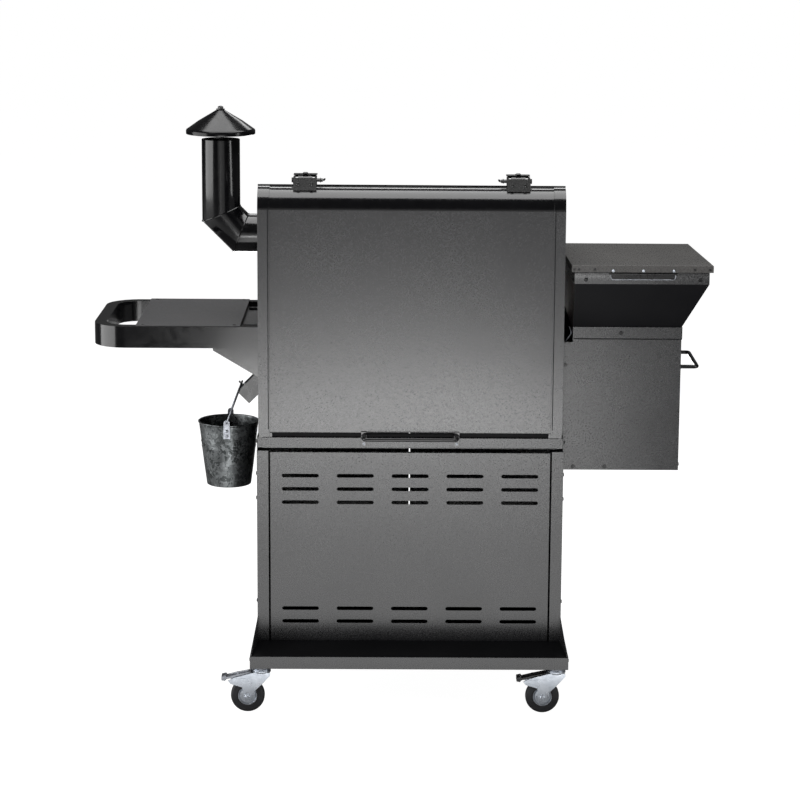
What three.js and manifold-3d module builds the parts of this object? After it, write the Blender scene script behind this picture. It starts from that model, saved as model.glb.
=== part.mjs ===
// Pellet smoker grill: a cooking chamber on a wheeled cabinet, a pellet hopper on one side,
// a chimney, a side shelf and a grease bucket on the other.
// Millimetres, +Z up. Everything is laid out in the group `grill`, whose x is measured from the
// chamber's middle, y is the depth from the chamber's rear face, and z is the height above the floor.
import * as THREE from 'three';
import { mergeVertices } from 'three/addons/utils/BufferGeometryUtils.js';
import Module from 'manifold-3d';

const wasm = await Module();
wasm.setup();

// ---------------------------------------------------------------- driving dimensions
const CHAMBER_X = 26;         // chamber's middle, from the object's origin
const REAR_Y = -225;          // chamber's rear face, from the object's origin

const GAP = 0.3;              // clearance between pieces that touch
const SHEET = 2;              // sheet steel

const HALF_WIDTH = 350;       // chamber
const DEPTH = 520;
const CHAMBER_FLOOR = 631;
const CHAMBER_TOP = 1197;
const CORNER_R = 50;          // rear top corner
const RIDGE_Y = 80;           // the lid starts here and slopes down to the front
const LID_SLOPE = THREE.MathUtils.degToRad(14);
const NOSE_R = 200;           // the lid's big front curve
const LID_EDGE_Z = 890;       // the lid's lower edge
const LID_SEAT = 4;           // the end caps are this much smaller under the lid
const CAP_FLANGE = 27;        // the end caps' rim, which wraps over the shell
const LID_OVERHANG = 2.5;     // the lid's side returns pass outside the end caps
const LID_RETURN = 22;
const LID_HINGE = { x: 243, y: 60, z: 1209 };
const HINGE_ARM_HALF = 16;
const PIN_R = 4;

const CART_HALF = 353.8;      // cabinet
const CART_TOP = 590;
const POST_FLANGE = 26.8;
const RAIL_HALF = 341;
const RAIL_BOTTOM = 597;
const RAIL_TOP = 621;
const BASE_HALF = 365;
const BASE_BACK = -130;
const BASE_FRONT = 580;
const BASE_BOTTOM = 107;
const BASE_TOP = 136;
const GUSSET_HEIGHT = 60;
const GUSSET_FLARE = 0.072;   // outwards, per millimetre of reach

const PULL_HALF = 106.8;      // rear pull handle

const SLOT = { length: 86, width: 8.7, pitchX: 126.8, columns: 5 };
const SLOT_ROWS = [531, 499.5, 468, 214, 183];
const DOOR_HINGE = { x: 324, y: 517.5 };

const CASTER = { x: 339, yBack: -107, yFront: 557, trail: 32, radius: 39, width: 24 };

const MIDDLE_Y = 260;         // auger, fire pot and drain share this depth
const AUGER_Z = 690;
const AUGER_TUBE_R = 32;
const GRATE_Z = 871;
const RACK_Z = 1006;

const FLUE_Y = 280;
const FLUE_R = 45;
const FLUE_STUB_Z = 1058;
const FLUE_OUT = 450;         // the upright pipe's axis, from the chamber's middle
const FLUE_BEND = 46.3;       // rise and reach of the 45 degree length
const FLUE_TOP = 1280;
const CAP_R = 81.5;

const SHELF = { end: 740, near: 88, far: 490, bottom: 813, top: 863, leg: 28, corner: 80 };
const PLATE = { outer: 638, inner: 396, joggle: 15 };

const HOOK = { x: -402, y: MIDDLE_Y, z: 702 };
const BAIL_TILT = THREE.MathUtils.degToRad(20.8);
const BAIL_HEIGHT = 93;
const BAIL_HALF = 82;
const CHUTE_END = { x: -398.6, z: 667.2 };
const CHUTE = { length: 100, side: 40, width: 44 };

const BOX = { left: 350.3, right: 626.5, near: 70, far: 465, bottom: 533, top: 872 };
const COLLAR = { left: 372, right: 680, near: 5, far: 530 };
const COLLAR_REAR_Z = 982;
const COLLAR_FRONT_Z = 958;
const COLLAR_HEIGHT = 26;
const HOPPER_LID = {
  left: 365, right: 688, near: -3, far: 540, rearTop: 1026, frontTop: 1002, lip: 16,
};
const HOPPER_HINGE = { y: 1.7, z: 1006.5, left: 452, right: 604 };

// ---------------------------------------------------------------- materials
function finish(color, roughness, metalness) {
  return new THREE.MeshStandardMaterial({ color, roughness, metalness });
}
const PAINT = finish(0x2b2b2d, 0.55, 0.3);        // textured black powder coat
const ENAMEL = finish(0x111113, 0.22, 0.3);       // gloss black
const ZINC = finish(0xb9c0c8, 0.35, 0.9);
const GALVANISED = finish(0x8d9396, 0.45, 0.85);
const TYRE = finish(0x26272b, 0.8, 0.0);
const PLASTIC = finish(0x151516, 0.45, 0.0);
const RAW_STEEL = finish(0x6f6a63, 0.5, 0.9);
const IRON = finish(0x1c1c1d, 0.6, 0.6);

// ---------------------------------------------------------------- solids
function isInsideOut(points, triangles) {
  let volume = 0;
  const corner = [0, 1, 2].map(() => new THREE.Vector3());
  for (let i = 0; i < triangles.length; i += 3) {
    corner.forEach((p, k) => p.fromArray(points, 3 * triangles[i + k]));
    volume += corner[0].dot(corner[1].clone().cross(corner[2]));
  }
  return volume < 0;
}

function solid(geometry) {
  geometry.deleteAttribute('normal');
  geometry.deleteAttribute('uv');
  const merged = mergeVertices(geometry, 1e-4);
  const points = new Float32Array(merged.attributes.position.array);
  const index = merged.index.array;
  const triangles = [];
  for (let i = 0; i < index.length; i += 3) {
    const [a, b, c] = [index[i], index[i + 1], index[i + 2]];
    if (a !== b && b !== c && c !== a) triangles.push(a, b, c);
  }
  if (isInsideOut(points, triangles)) triangles.reverse();
  return new wasm.Manifold(new wasm.Mesh({
    numProp: 3,
    vertProperties: points,
    triVerts: new Uint32Array(triangles),
  }));
}

const join = (...solids) => solids.reduce((whole, next) => whole.add(next));
const cut = (body, ...tools) => tools.reduce((left, tool) => left.subtract(tool), body);

function slab(x0, x1, y0, y1, z0, z1) {
  return new THREE.BoxGeometry(x1 - x0, y1 - y0, z1 - z0)
    .translate((x0 + x1) / 2, (y0 + y1) / 2, (z0 + z1) / 2);
}

const block = (...limits) => solid(slab(...limits));

// A box on one side of the chamber's middle: x0 and x1 are distances from it.
function sideBlock(side, x0, x1, y0, y1, z0, z1) {
  return block(Math.min(side * x0, side * x1), Math.max(side * x0, side * x1), y0, y1, z0, z1);
}

// A box whose eight corners are placed by a function of right, front and top.
function shapedBox(place) {
  const geometry = new THREE.BoxGeometry(2, 2, 2);
  const position = geometry.attributes.position;
  for (let i = 0; i < position.count; i += 1) {
    const corner = place(position.getX(i) > 0, position.getY(i) > 0, position.getZ(i) > 0);
    position.setXYZ(i, ...corner);
  }
  return solid(geometry);
}

const AXIS_BASIS = {
  x: [new THREE.Vector3(0, 1, 0), new THREE.Vector3(0, 0, 1), new THREE.Vector3(1, 0, 0)],
  y: [new THREE.Vector3(1, 0, 0), new THREE.Vector3(0, 0, 1), new THREE.Vector3(0, -1, 0)],
  z: [new THREE.Vector3(1, 0, 0), new THREE.Vector3(0, 1, 0), new THREE.Vector3(0, 0, 1)],
};

// A flat outline carried along an axis, from one coordinate to another. The outline's own
// axes are y,z for x; x,z for y; and x,y for z.
function extruded(axis, shape, from, to, curveSegments = 6) {
  const options = { depth: to - from, bevelEnabled: false, curveSegments };
  const geometry = new THREE.ExtrudeGeometry(shape, options);
  geometry.applyMatrix4(new THREE.Matrix4().makeBasis(...AXIS_BASIS[axis]));
  const start = axis === 'y' ? to : from;
  geometry.translate(axis === 'x' ? start : 0, axis === 'y' ? start : 0, axis === 'z' ? start : 0);
  return solid(geometry);
}

function outline(points) {
  return new THREE.Shape(points.map(([a, b]) => new THREE.Vector2(a, b)));
}

// A round bar along an axis; a and b are its other two coordinates in x, y, z order.
function rod(axis, radius, from, to, a, b, segments = 20) {
  const geometry = new THREE.CylinderGeometry(radius, radius, to - from, segments);
  const middle = (from + to) / 2;
  if (axis === 'x') geometry.rotateZ(-Math.PI / 2).translate(middle, a, b);
  if (axis === 'y') geometry.translate(a, middle, b);
  if (axis === 'z') geometry.rotateX(Math.PI / 2).translate(a, b, middle);
  return solid(geometry);
}

// A turned piece from a profile of [radius, height] points about the given axis.
function turned(axis, profile, segments = 32, at = [0, 0, 0]) {
  const points = profile.map(([radius, height]) => new THREE.Vector2(radius, height));
  const geometry = new THREE.LatheGeometry(points, segments);
  if (axis === 'z') geometry.rotateX(Math.PI / 2);
  return solid(geometry.translate(...at));
}

// A round wire or bar that follows a path.
function bent(path, radius, steps, sides = 8) {
  const section = new THREE.Shape();
  section.absarc(0, 0, radius, 0, 2 * Math.PI, false);
  const geometry = new THREE.ExtrudeGeometry(section, {
    extrudePath: path, steps, bevelEnabled: false, curveSegments: sides / 2,
  });
  return solid(geometry);
}

// A path of straight lengths with rounded corners.
function roundedPath(corners, bend) {
  const points = corners.map((corner) => new THREE.Vector3(...corner));
  const path = new THREE.CurvePath();
  let start = points[0];
  for (let i = 1; i < points.length - 1; i += 1) {
    const towards = (next) => points[i].clone().lerp(next, bend / points[i].distanceTo(next));
    const [before, after] = [towards(points[i - 1]), towards(points[i + 1])];
    path.add(new THREE.LineCurve3(start, before));
    path.add(new THREE.QuadraticBezierCurve3(before, points[i], after));
    start = after;
  }
  path.add(new THREE.LineCurve3(start, points[points.length - 1]));
  return path;
}

function roundedSlot(length, width, x, z) {
  const slot = new THREE.Path();
  const reach = (length - width) / 2;
  slot.absarc(x + reach, z, width / 2, -Math.PI / 2, Math.PI / 2, false);
  slot.absarc(x - reach, z, width / 2, Math.PI / 2, 1.5 * Math.PI, false);
  return slot;
}

// ---------------------------------------------------------------- scene graph
const object = new THREE.Group();
const grill = new THREE.Group();
grill.position.set(CHAMBER_X, REAR_Y, 0);
object.add(grill);

function part(name, body, material, parent = grill) {
  const mesh = body.getMesh();
  const geometry = new THREE.BufferGeometry();
  geometry.setAttribute('position', new THREE.BufferAttribute(mesh.vertProperties, 3));
  geometry.setIndex(new THREE.BufferAttribute(mesh.triVerts, 1));
  geometry.computeVertexNormals();
  const piece = new THREE.Mesh(geometry, material);
  piece.name = name;
  parent.add(piece);
  return piece;
}

// ---------------------------------------------------------------- cooking chamber
// The chamber seen from its side, shrunk by `inset`; under the lid it is shrunk by `lidInset`.
function chamberProfile(inset, lidInset = inset) {
  const noseY = DEPTH - NOSE_R;
  const tangentY = noseY + NOSE_R * Math.sin(LID_SLOPE);
  const tangentZ = CHAMBER_TOP - (tangentY - RIDGE_Y) * Math.tan(LID_SLOPE);
  const noseZ = tangentZ - NOSE_R * Math.cos(LID_SLOPE);
  const ridgeY = RIDGE_Y - inset;
  const ridgeZ = CHAMBER_TOP - lidInset / Math.cos(LID_SLOPE) + inset * Math.tan(LID_SLOPE);
  const profile = new THREE.Shape();
  profile.moveTo(inset, CHAMBER_FLOOR + inset);
  profile.lineTo(inset, CHAMBER_TOP - CORNER_R);
  profile.absarc(CORNER_R, CHAMBER_TOP - CORNER_R, CORNER_R - inset, Math.PI, Math.PI / 2, true);
  profile.lineTo(ridgeY, CHAMBER_TOP - inset);
  if (lidInset > inset) profile.lineTo(ridgeY, ridgeZ);
  profile.absarc(noseY, noseZ, NOSE_R - lidInset, Math.PI / 2 - LID_SLOPE, 0, true);
  if (lidInset > inset) profile.lineTo(DEPTH - lidInset, LID_EDGE_Z - inset);
  if (lidInset > inset) profile.lineTo(DEPTH - inset, LID_EDGE_Z - inset);
  profile.lineTo(DEPTH - inset, CHAMBER_FLOOR + inset);
  return profile;
}

function chamberShell() {
  const half = HALF_WIDTH - SHEET - GAP;
  const inset = SHEET + GAP;
  return cut(
    extruded('x', chamberProfile(inset), -half, half),
    extruded('x', chamberProfile(inset + SHEET), -half - 1, half + 1),
    block(-400, 400, RIDGE_Y - inset, 600, LID_EDGE_Z - inset, 1300),
  );
}

function chuteBar(grow, from, to) {
  const side = CHUTE.side / 2 + grow;
  const width = CHUTE.width / 2 + grow;
  const bar = slab(from, to, -width, width, -side, side);
  return solid(bar.rotateY(-Math.PI / 4).translate(CHUTE_END.x, MIDDLE_Y, CHUTE_END.z));
}

function endCap(side) {
  const inner = HALF_WIDTH - SHEET;
  const [x0, x1] = [HALF_WIDTH - CAP_FLANGE, HALF_WIDTH].map((x) => side * x).sort((a, b) => a - b);
  const [hollow0, hollow1] = side > 0 ? [x0 - 1, inner] : [-inner, x1 + 1];
  const ledge = (y0, y1, top) => sideBlock(side, 330, inner + 1, y0, y1, top - 3, top);
  const foot = (y0) => sideBlock(side, 318, HALF_WIDTH - 1, y0, y0 + 34, RAIL_TOP + GAP, CHAMBER_FLOOR + 1);
  const trayLedge = side > 0 ? 814 : 790.8;
  return join(
    cut(
      extruded('x', chamberProfile(0, LID_SEAT), x0, x1),
      extruded('x', chamberProfile(SHEET, LID_SEAT + SHEET), hollow0, hollow1),
    ),
    ledge(16, 504, GRATE_Z),
    ledge(16, 190, RACK_Z),
    ledge(30, 190, trayLedge),
    ledge(330, 490, trayLedge),
    foot(4),
    foot(482),
  );
}

part('chamber_shell', chamberShell(), PAINT);
part('chamber_end_left', cut(
  endCap(-1),
  rod('x', FLUE_R + 1, -360, -340, FLUE_Y, FLUE_STUB_Z, 28),
  chuteBar(1.5, -10, CHUTE.length),
), PAINT);
part('chamber_end_right', cut(
  endCap(1),
  rod('x', AUGER_TUBE_R + 1, 340, 360, MIDDLE_Y, AUGER_Z, 24),
  rod('x', 3.4, 340, 360, 170, 940, 12),
), PAINT);

function hingeArm(x) {
  const arm = outline([
    [56, 1217], [66, 1217], [132, 1186], [130, 1182.6], [88, 1193.6], [84, 1200], [60, 1200.2],
  ]);
  const { y, z } = LID_HINGE;
  const strap = extruded('x', arm, x - HINGE_ARM_HALF, x + HINGE_ARM_HALF);
  const knuckle = rod('x', 9, x - HINGE_ARM_HALF, x + HINGE_ARM_HALF, y, z, 14);
  const bolt = rod('z', 6, 1212, 1224, x, 70, 10);
  const pinHole = rod('x', PIN_R + 0.4, x - 40, x + 40, y, z, 10);
  return cut(join(strap, knuckle, bolt), pinHole);
}

function lidShell() {
  const half = HALF_WIDTH + LID_OVERHANG;
  const skin = cut(
    extruded('x', chamberProfile(0), -half, half),
    extruded('x', chamberProfile(SHEET), SHEET - half, half - SHEET),
    extruded('x', chamberProfile(LID_RETURN), -half - 1, half + 1),
  );
  const front = block(-400, 400, RIDGE_Y + 1, 600, LID_EDGE_Z + 1, 1300);
  return join(skin.intersect(front), hingeArm(-LID_HINGE.x), hingeArm(LID_HINGE.x));
}

// The fixed half of a lid hinge, with its pin; the pin stands out further on the inner side.
function hingeBracket(side) {
  const x = side * LID_HINGE.x;
  const { y, z } = LID_HINGE;
  const [pin0, pin1] = side < 0 ? [x - 31, x + 40] : [x - 40, x + 31];
  return join(
    block(x - 26.5, x + 26.5, 27, 74, 1195, 1198),
    block(x - 26.5, x + 26.5, 24, 27.5, 1189, 1218),
    block(x - 26.5, x - 22.5, 27, 74, 1197, 1218),
    block(x + 22.5, x + 26.5, 27, 74, 1197, 1218),
    rod('x', PIN_R, pin0, pin1, y, z, 10),
  );
}

function lidHandle() {
  const post = (x) => block(x - 8, x + 8, DEPTH + GAP, 556, 908, 930);
  return join(rod('x', 11, -215, 215, 560, 919, 20), post(-170), post(170));
}

part('lid_shell', lidShell(), ENAMEL);
part('lid_hinge_left', hingeBracket(-1), IRON);
part('lid_hinge_right', hingeBracket(1), IRON);
part('lid_handle', lidHandle(), ZINC);

// A flat grid with equal openings between its bars: `columns` along x and `rows` along y.
function grid([x0, x1], [y0, y1], z, height, columns, rows, rim, bar) {
  const openings = [];
  const width = (x1 - x0 - 2 * rim + bar) / columns - bar;
  const length = (y1 - y0 - 2 * rim + bar) / rows - bar;
  for (let column = 0; column < columns; column += 1) {
    for (let row = 0; row < rows; row += 1) {
      const [x, y] = [x0 + rim + column * (width + bar), y0 + rim + row * (length + bar)];
      openings.push(block(x, x + width, y, y + length, z - 1, z + height + 1));
    }
  }
  return cut(block(x0, x1, y0, y1, z, z + height), ...openings);
}

part('cooking_grate', grid([-345, 345], [16, 504], GRATE_Z + GAP, 7, 20, 2, 8, 5), IRON);
part('upper_rack', grid([-345, 345], [16, 188], RACK_Z + GAP, 5, 20, 1, 6, 4), ZINC);

// The grease tray lies on a slope, so that it drains to the left, over its one open lip.
function greaseTray() {
  const tray = cut(block(-340, 340, -230, 230, 0, 14), block(-338, 338, -228, 228, 2, 15));
  return cut(tray, block(-341, -337, -45, 45, 2, 15));
}
const tray = part('grease_tray', greaseTray(), RAW_STEEL);
tray.position.set(0, MIDDLE_Y, 803);
tray.rotation.y = -THREE.MathUtils.degToRad(1.97);

function heatBaffle() {
  const leg = (x, y) => block(x - 1, x + 1, y - 8, y + 8, 636, 770);
  const cheek = (x) => block(x - 1, x + 1, 130, 390, 742, 770);
  return join(
    block(-151, 151, 130, 390, 768, 770),
    ...[-150, 150].flatMap((x) => [cheek(x), leg(x, 138), leg(x, 382)]),
  );
}

function firePot() {
  const profile = [[0, 635.6], [55, 635.6], [55, 735], [52, 735], [52, 640], [0, 640]];
  return cut(
    turned('z', profile, 28, [0, MIDDLE_Y, 0]),
    rod('x', AUGER_TUBE_R + 1, 20, 80, MIDDLE_Y, AUGER_Z, 24),
    rod('x', 5, 20, 80, MIDDLE_Y, 648, 12),
  );
}

part('heat_baffle', heatBaffle(), RAW_STEEL);
part('fire_pot', firePot(), RAW_STEEL);
part('igniter_rod', rod('x', 4.5, 30, 130, MIDDLE_Y, 648, 12), ZINC);
part('temperature_probe', join(
  rod('x', 3, 262, 352, 170, 940, 12),
  rod('x', 6, 344, 347.7, 170, 940, 12),
), ZINC);

// ---------------------------------------------------------------- grease drain and bucket
function drainChute() {
  const wall = 2;
  const outer = join(
    chuteBar(0, 0, CHUTE.length),
    block(-345, -288, MIDDLE_Y - 56, MIDDLE_Y + 56, 736, 762),
  );
  const peg = slab(16, 19, -5, 5, 19, 33).rotateY(-Math.PI / 4);
  peg.translate(CHUTE_END.x, MIDDLE_Y, CHUTE_END.z);
  return join(
    cut(
      outer,
      chuteBar(-wall, -1, CHUTE.length + 1),
      block(-343, -290, MIDDLE_Y - 54, MIDDLE_Y + 54, 738, 763),
    ),
    solid(peg),
  );
}

part('drain_chute', drainChute(), PAINT);

// The bail's group sits on the hook and the bucket's group on the bail's two ends.
const bailGroup = new THREE.Group();
bailGroup.position.set(HOOK.x, HOOK.y, HOOK.z);
grill.add(bailGroup);
const bucketGroup = new THREE.Group();
bucketGroup.position.set(
  HOOK.x - BAIL_HEIGHT * Math.sin(BAIL_TILT), HOOK.y, HOOK.z - BAIL_HEIGHT * Math.cos(BAIL_TILT),
);
grill.add(bucketGroup);

function bail() {
  const rise = BAIL_HEIGHT - 4;
  const points = [[71, 0], [77, 0]];
  for (let i = 0; i <= 12; i += 1) {
    const angle = (Math.PI * i) / 12;
    points.push([BAIL_HALF * Math.cos(angle), 4 + rise * Math.sin(angle)]);
  }
  points.push([-77, 0], [-71, 0]);
  const spots = points.map(([y, z]) => new THREE.Vector3(0, y, z - BAIL_HEIGHT));
  return bent(new THREE.CatmullRomCurve3(spots), 2, 32, 6);
}

function bucket() {
  const shell = turned('z', [
    [0, -159], [50, -159], [50.4, -162], [52, -162], [70.9, -12], [73.2, -11],
    [73.2, -6.5], [69.4, -6.5], [50.6, -157], [0, -157],
  ], 24);
  const ear = (side) => {
    const y = side * 74.6;
    const plate = new THREE.Shape();
    plate.moveTo(-7, -36);
    plate.lineTo(7, -36);
    plate.absarc(0, 0, 7, 0, Math.PI, false);
    const [rivetStart, rivetEnd] = [side * 68, y].sort((a, b) => a - b);
    const rivet = rod('y', 4, rivetStart, rivetEnd, 0, -26, 12);
    const bailHole = rod('y', 2.6, y - 3, y + 3, 0, 0, 12);
    return cut(join(extruded('y', plate, y - 0.8, y + 0.8, 4), rivet), bailHole);
  };
  return join(shell, ear(1), ear(-1));
}

part('bucket_bail', bail(), ZINC, bailGroup).rotation.y = BAIL_TILT;
part('grease_bucket', bucket(), GALVANISED, bucketGroup);

// ---------------------------------------------------------------- chimney
// Half of space on one side of a plane through `at`, square to `normal`, in the x,z plane.
// It reaches a hair past the plane, so that two mitred ends overlap and become one.
function halfSpace(at, normal) {
  const size = 800;
  const overlap = 0.05;
  const angle = Math.atan2(normal[0], normal[1]);
  const half = new THREE.BoxGeometry(size, size, size).translate(0, 0, size / 2 - overlap);
  return solid(half.rotateY(angle).translate(at[0], FLUE_Y, at[1]));
}

// Straight tubes between [x, z] points, mitred where they meet.
function mitredBar(points, radius) {
  const lengths = [];
  for (let i = 0; i < points.length - 1; i += 1) {
    const [from, to] = [points[i], points[i + 1]];
    const direction = new THREE.Vector2(to[0] - from[0], to[1] - from[1]);
    const span = direction.length();
    lengths.push({ from, span, unit: direction.divideScalar(span) });
  }
  const bars = lengths.map(({ from, span, unit }, i) => {
    const start = i > 0 ? -radius : 0;
    const end = i < lengths.length - 1 ? span + radius : span;
    const bar = new THREE.CylinderGeometry(radius, radius, end - start, 22);
    bar.translate(0, (start + end) / 2, 0).rotateX(Math.PI / 2);
    bar.rotateY(Math.atan2(unit.x, unit.y)).translate(from[0], FLUE_Y, from[1]);
    let piece = solid(bar);
    if (i > 0) {
      const bisector = unit.clone().add(lengths[i - 1].unit);
      piece = piece.intersect(halfSpace(from, [bisector.x, bisector.y]));
    }
    if (i < lengths.length - 1) {
      const bisector = unit.clone().add(lengths[i + 1].unit);
      piece = piece.intersect(halfSpace(points[i + 1], [-bisector.x, -bisector.y]));
    }
    return piece;
  });
  return join(...bars);
}

function chimneyPipe() {
  const route = (overrun) => [
    [-344 + overrun, FLUE_STUB_Z],
    [FLUE_BEND - FLUE_OUT, FLUE_STUB_Z],
    [-FLUE_OUT, FLUE_STUB_Z + FLUE_BEND],
    [-FLUE_OUT, FLUE_TOP + overrun],
  ];
  return join(
    cut(mitredBar(route(0), FLUE_R), mitredBar(route(1), FLUE_R - SHEET)),
    block(-FLUE_OUT - 44, -FLUE_OUT + 44, FLUE_Y - 6, FLUE_Y + 6, 1228, 1231),
    rod('z', 4, 1230, 1358, -FLUE_OUT, FLUE_Y, 12),
  );
}

function chimneyCap() {
  const bore = 4.5;
  return turned('z', [
    [bore, 1344], [8, 1344], [CAP_R - 1.8, 1301.2], [CAP_R - 1.8, 1292], [CAP_R, 1292],
    [CAP_R, 1302], [7.5, 1350], [7.5, 1357], [bore, 1357], [bore, 1344],
  ], 26, [-FLUE_OUT, FLUE_Y, 0]);
}

part('chimney_pipe', chimneyPipe(), ENAMEL);
part('chimney_cap', chimneyCap(), ENAMEL);

// ---------------------------------------------------------------- side shelf
// The shelf's U frame from above: open to the chamber, its outer corners rounded.
function shelfLoop(inset) {
  const left = inset - SHELF.end;
  const radius = SHELF.corner - inset;
  const cornerX = SHELF.corner - SHELF.end;
  const loop = new THREE.Shape();
  loop.moveTo(-HALF_WIDTH - GAP + inset, SHELF.near + inset);
  loop.lineTo(cornerX, SHELF.near + inset);
  loop.absarc(cornerX, SHELF.near + SHELF.corner, radius, 1.5 * Math.PI, Math.PI, true);
  loop.lineTo(left, SHELF.far - SHELF.corner);
  loop.absarc(cornerX, SHELF.far - SHELF.corner, radius, Math.PI, Math.PI / 2, true);
  loop.lineTo(-HALF_WIDTH - GAP + inset, SHELF.far - inset);
  return loop;
}

function shelfFrame() {
  const { bottom, top, leg } = SHELF;
  const solidLoop = (outer, z0, z1) => extruded('z', shelfLoop(outer), z0, z1);
  return cut(
    solidLoop(0, bottom, top),
    solidLoop(leg, bottom - 1, top + 1),
    cut(solidLoop(SHEET, bottom - 1, top - SHEET), solidLoop(leg - SHEET, bottom - 2, top)),
  );
}

function shelfPlate() {
  const top = SHELF.top + GAP;
  const { near, far, leg } = SHELF;
  const [y0, y1] = [near + leg + GAP, far - leg - GAP];
  return join(
    block(-PLATE.outer, -PLATE.inner, near + 2, far - 2, top, top + SHEET),
    block(-PLATE.outer, -PLATE.outer + SHEET, y0, y1, top - 18, top + 1),
    block(-PLATE.inner - SHEET, -PLATE.inner, y0, y1, top - PLATE.joggle, top + 1),
    block(-PLATE.inner - SHEET, -HALF_WIDTH - GAP, y0, y1, top - PLATE.joggle, top - PLATE.joggle + SHEET),
  );
}

// Two webs and a wall plate, welded to the insides of the frame's legs.
function shelfBracket() {
  const wall = -HALF_WIDTH - GAP;
  const { near, far, leg, bottom } = SHELF;
  const web = outline([[wall, 737], [wall, 840], [-461, 840], [-461, 803]]);
  const [nearWeb, farWeb] = [near + leg - 0.5, far - leg + 0.5];
  return join(
    extruded('y', web, nearWeb, nearWeb + 2.5),
    extruded('y', web, farWeb - 2.5, farWeb),
    block(-461, wall, nearWeb + 2, nearWeb + 24, bottom - 6, bottom - 4),
    block(-461, wall, farWeb - 24, farWeb - 2, bottom - 6, bottom - 4),
    block(wall - SHEET, wall, nearWeb + 1, farWeb - 1, 762, bottom - 4),
  );
}

part('shelf_frame', join(shelfFrame(), shelfBracket()), ENAMEL);
part('shelf_plate', shelfPlate(), PAINT);

// ---------------------------------------------------------------- cabinet
function baseTray() {
  return cut(
    block(-BASE_HALF, BASE_HALF, BASE_BACK, BASE_FRONT, BASE_BOTTOM, BASE_TOP),
    block(SHEET - BASE_HALF, BASE_HALF - SHEET, BASE_BACK + SHEET, BASE_FRONT - SHEET, 109, BASE_TOP - SHEET),
    block(-300, 300, -70, 520, BASE_BOTTOM - 1, 110),
    ...[-1, 1].flatMap((side) => [CASTER.yBack, CASTER.yFront].map(
      (y) => rod('z', 5.4, BASE_BOTTOM - 1, 110, side * CASTER.x, y, 12),
    )),
  );
}

// A three-cornered foot of the side panel, which flares out towards the base's edge.
function gusset(side, from, to) {
  return shapedBox((isOuter, isTip, isTop) => [
    side * (CART_HALF - (isOuter ? 0.3 : 1.7) + (isTip ? Math.abs(to - from) * GUSSET_FLARE : 0)),
    isTip ? to : from,
    BASE_TOP + (isTop ? (isTip ? 4 : GUSSET_HEIGHT) : 1),
  ]);
}

// A side panel, folded into a channel from above, with a tab between the rails.
function cartSide(side) {
  const [outer, inner, lip] = [CART_HALF, CART_HALF - SHEET, CART_HALF - POST_FLANGE];
  const channel = outline([
    [lip, 0], [outer, 0], [outer, DEPTH], [lip, DEPTH],
    [lip, DEPTH - SHEET], [inner, DEPTH - SHEET], [inner, SHEET], [lip, SHEET],
  ].map(([x, y]) => [side * x, y]));
  return join(
    extruded('z', channel, BASE_TOP + GAP, CART_TOP),
    sideBlock(side, inner + 0.3, outer - 0.3, 6, DEPTH - 6, CART_TOP - 5, RAIL_TOP - GAP),
    gusset(side, 1, BASE_BACK + 5),
    gusset(side, DEPTH - 1, BASE_FRONT - 5),
  );
}

// A folded rail across the cabinet's top; `face` is its outer face and `inward` points indoors.
function crossRail(face, inward) {
  const depthBlock = (x0, x1, d0, d1, z0, z1) => {
    const ys = [face + inward * d0, face + inward * d1].sort((a, b) => a - b);
    return block(x0, x1, ...ys, z0, z1);
  };
  const end = (side) => {
    const [x0, x1] = [side * (RAIL_HALF - 3), side * (CART_HALF - SHEET - GAP)].sort((a, b) => a - b);
    return depthBlock(x0, x1, 4, 26, RAIL_BOTTOM, RAIL_TOP);
  };
  return join(
    depthBlock(-RAIL_HALF, RAIL_HALF, 0, SHEET, RAIL_BOTTOM, RAIL_TOP),
    depthBlock(-RAIL_HALF, RAIL_HALF, 0, 30, RAIL_TOP - SHEET, RAIL_TOP),
    depthBlock(-RAIL_HALF, RAIL_HALF, 0, 30, RAIL_BOTTOM, RAIL_BOTTOM + SHEET),
    end(-1),
    end(1),
  );
}

function rearPanel() {
  const panel = new THREE.Shape();
  const [half, bottom, top] = [323, BASE_TOP + GAP, CART_TOP - 4];
  panel.moveTo(-half, bottom);
  panel.lineTo(half, bottom);
  panel.lineTo(half, top);
  panel.lineTo(-half, top);
  for (const z of SLOT_ROWS) {
    for (let column = 0; column < SLOT.columns; column += 1) {
      const x = (column - (SLOT.columns - 1) / 2) * SLOT.pitchX;
      panel.holes.push(roundedSlot(SLOT.length, SLOT.width, x, z));
    }
  }
  return join(
    extruded('y', panel, 3, 3 + SHEET, 2),
    block(-half, half, 3, 16, top - SHEET, top),
    block(-half, half, 3, 16, bottom, bottom + SHEET),
    ...[-1, 1].map((side) => sideBlock(side, half - SHEET, half, 3, 16, bottom, top)),
  );
}

function pullHandle() {
  const foot = (x) => block(x - 6, x + 6, 0.7 - 3, 0.7, 602, 633);
  const x = PULL_HALF;
  const path = roundedPath([[-x, -1, 624], [-x, -32, 624], [x, -32, 624], [x, -1, 624]], 9);
  return join(foot(-x), foot(x), bent(path, 4.5, 20));
}

part('base_tray', baseTray(), PAINT);
part('cabinet_side_left', cartSide(-1), PAINT);
part('cabinet_side_right', cartSide(1), PAINT);
part('cabinet_rear_panel', rearPanel(), PAINT);
part('rear_cross_rail', crossRail(1, 1), ENAMEL);
part('front_cross_rail', crossRail(DEPTH - 1, -1), ENAMEL);
part('rear_pull_handle', pullHandle(), PAINT);

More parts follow.
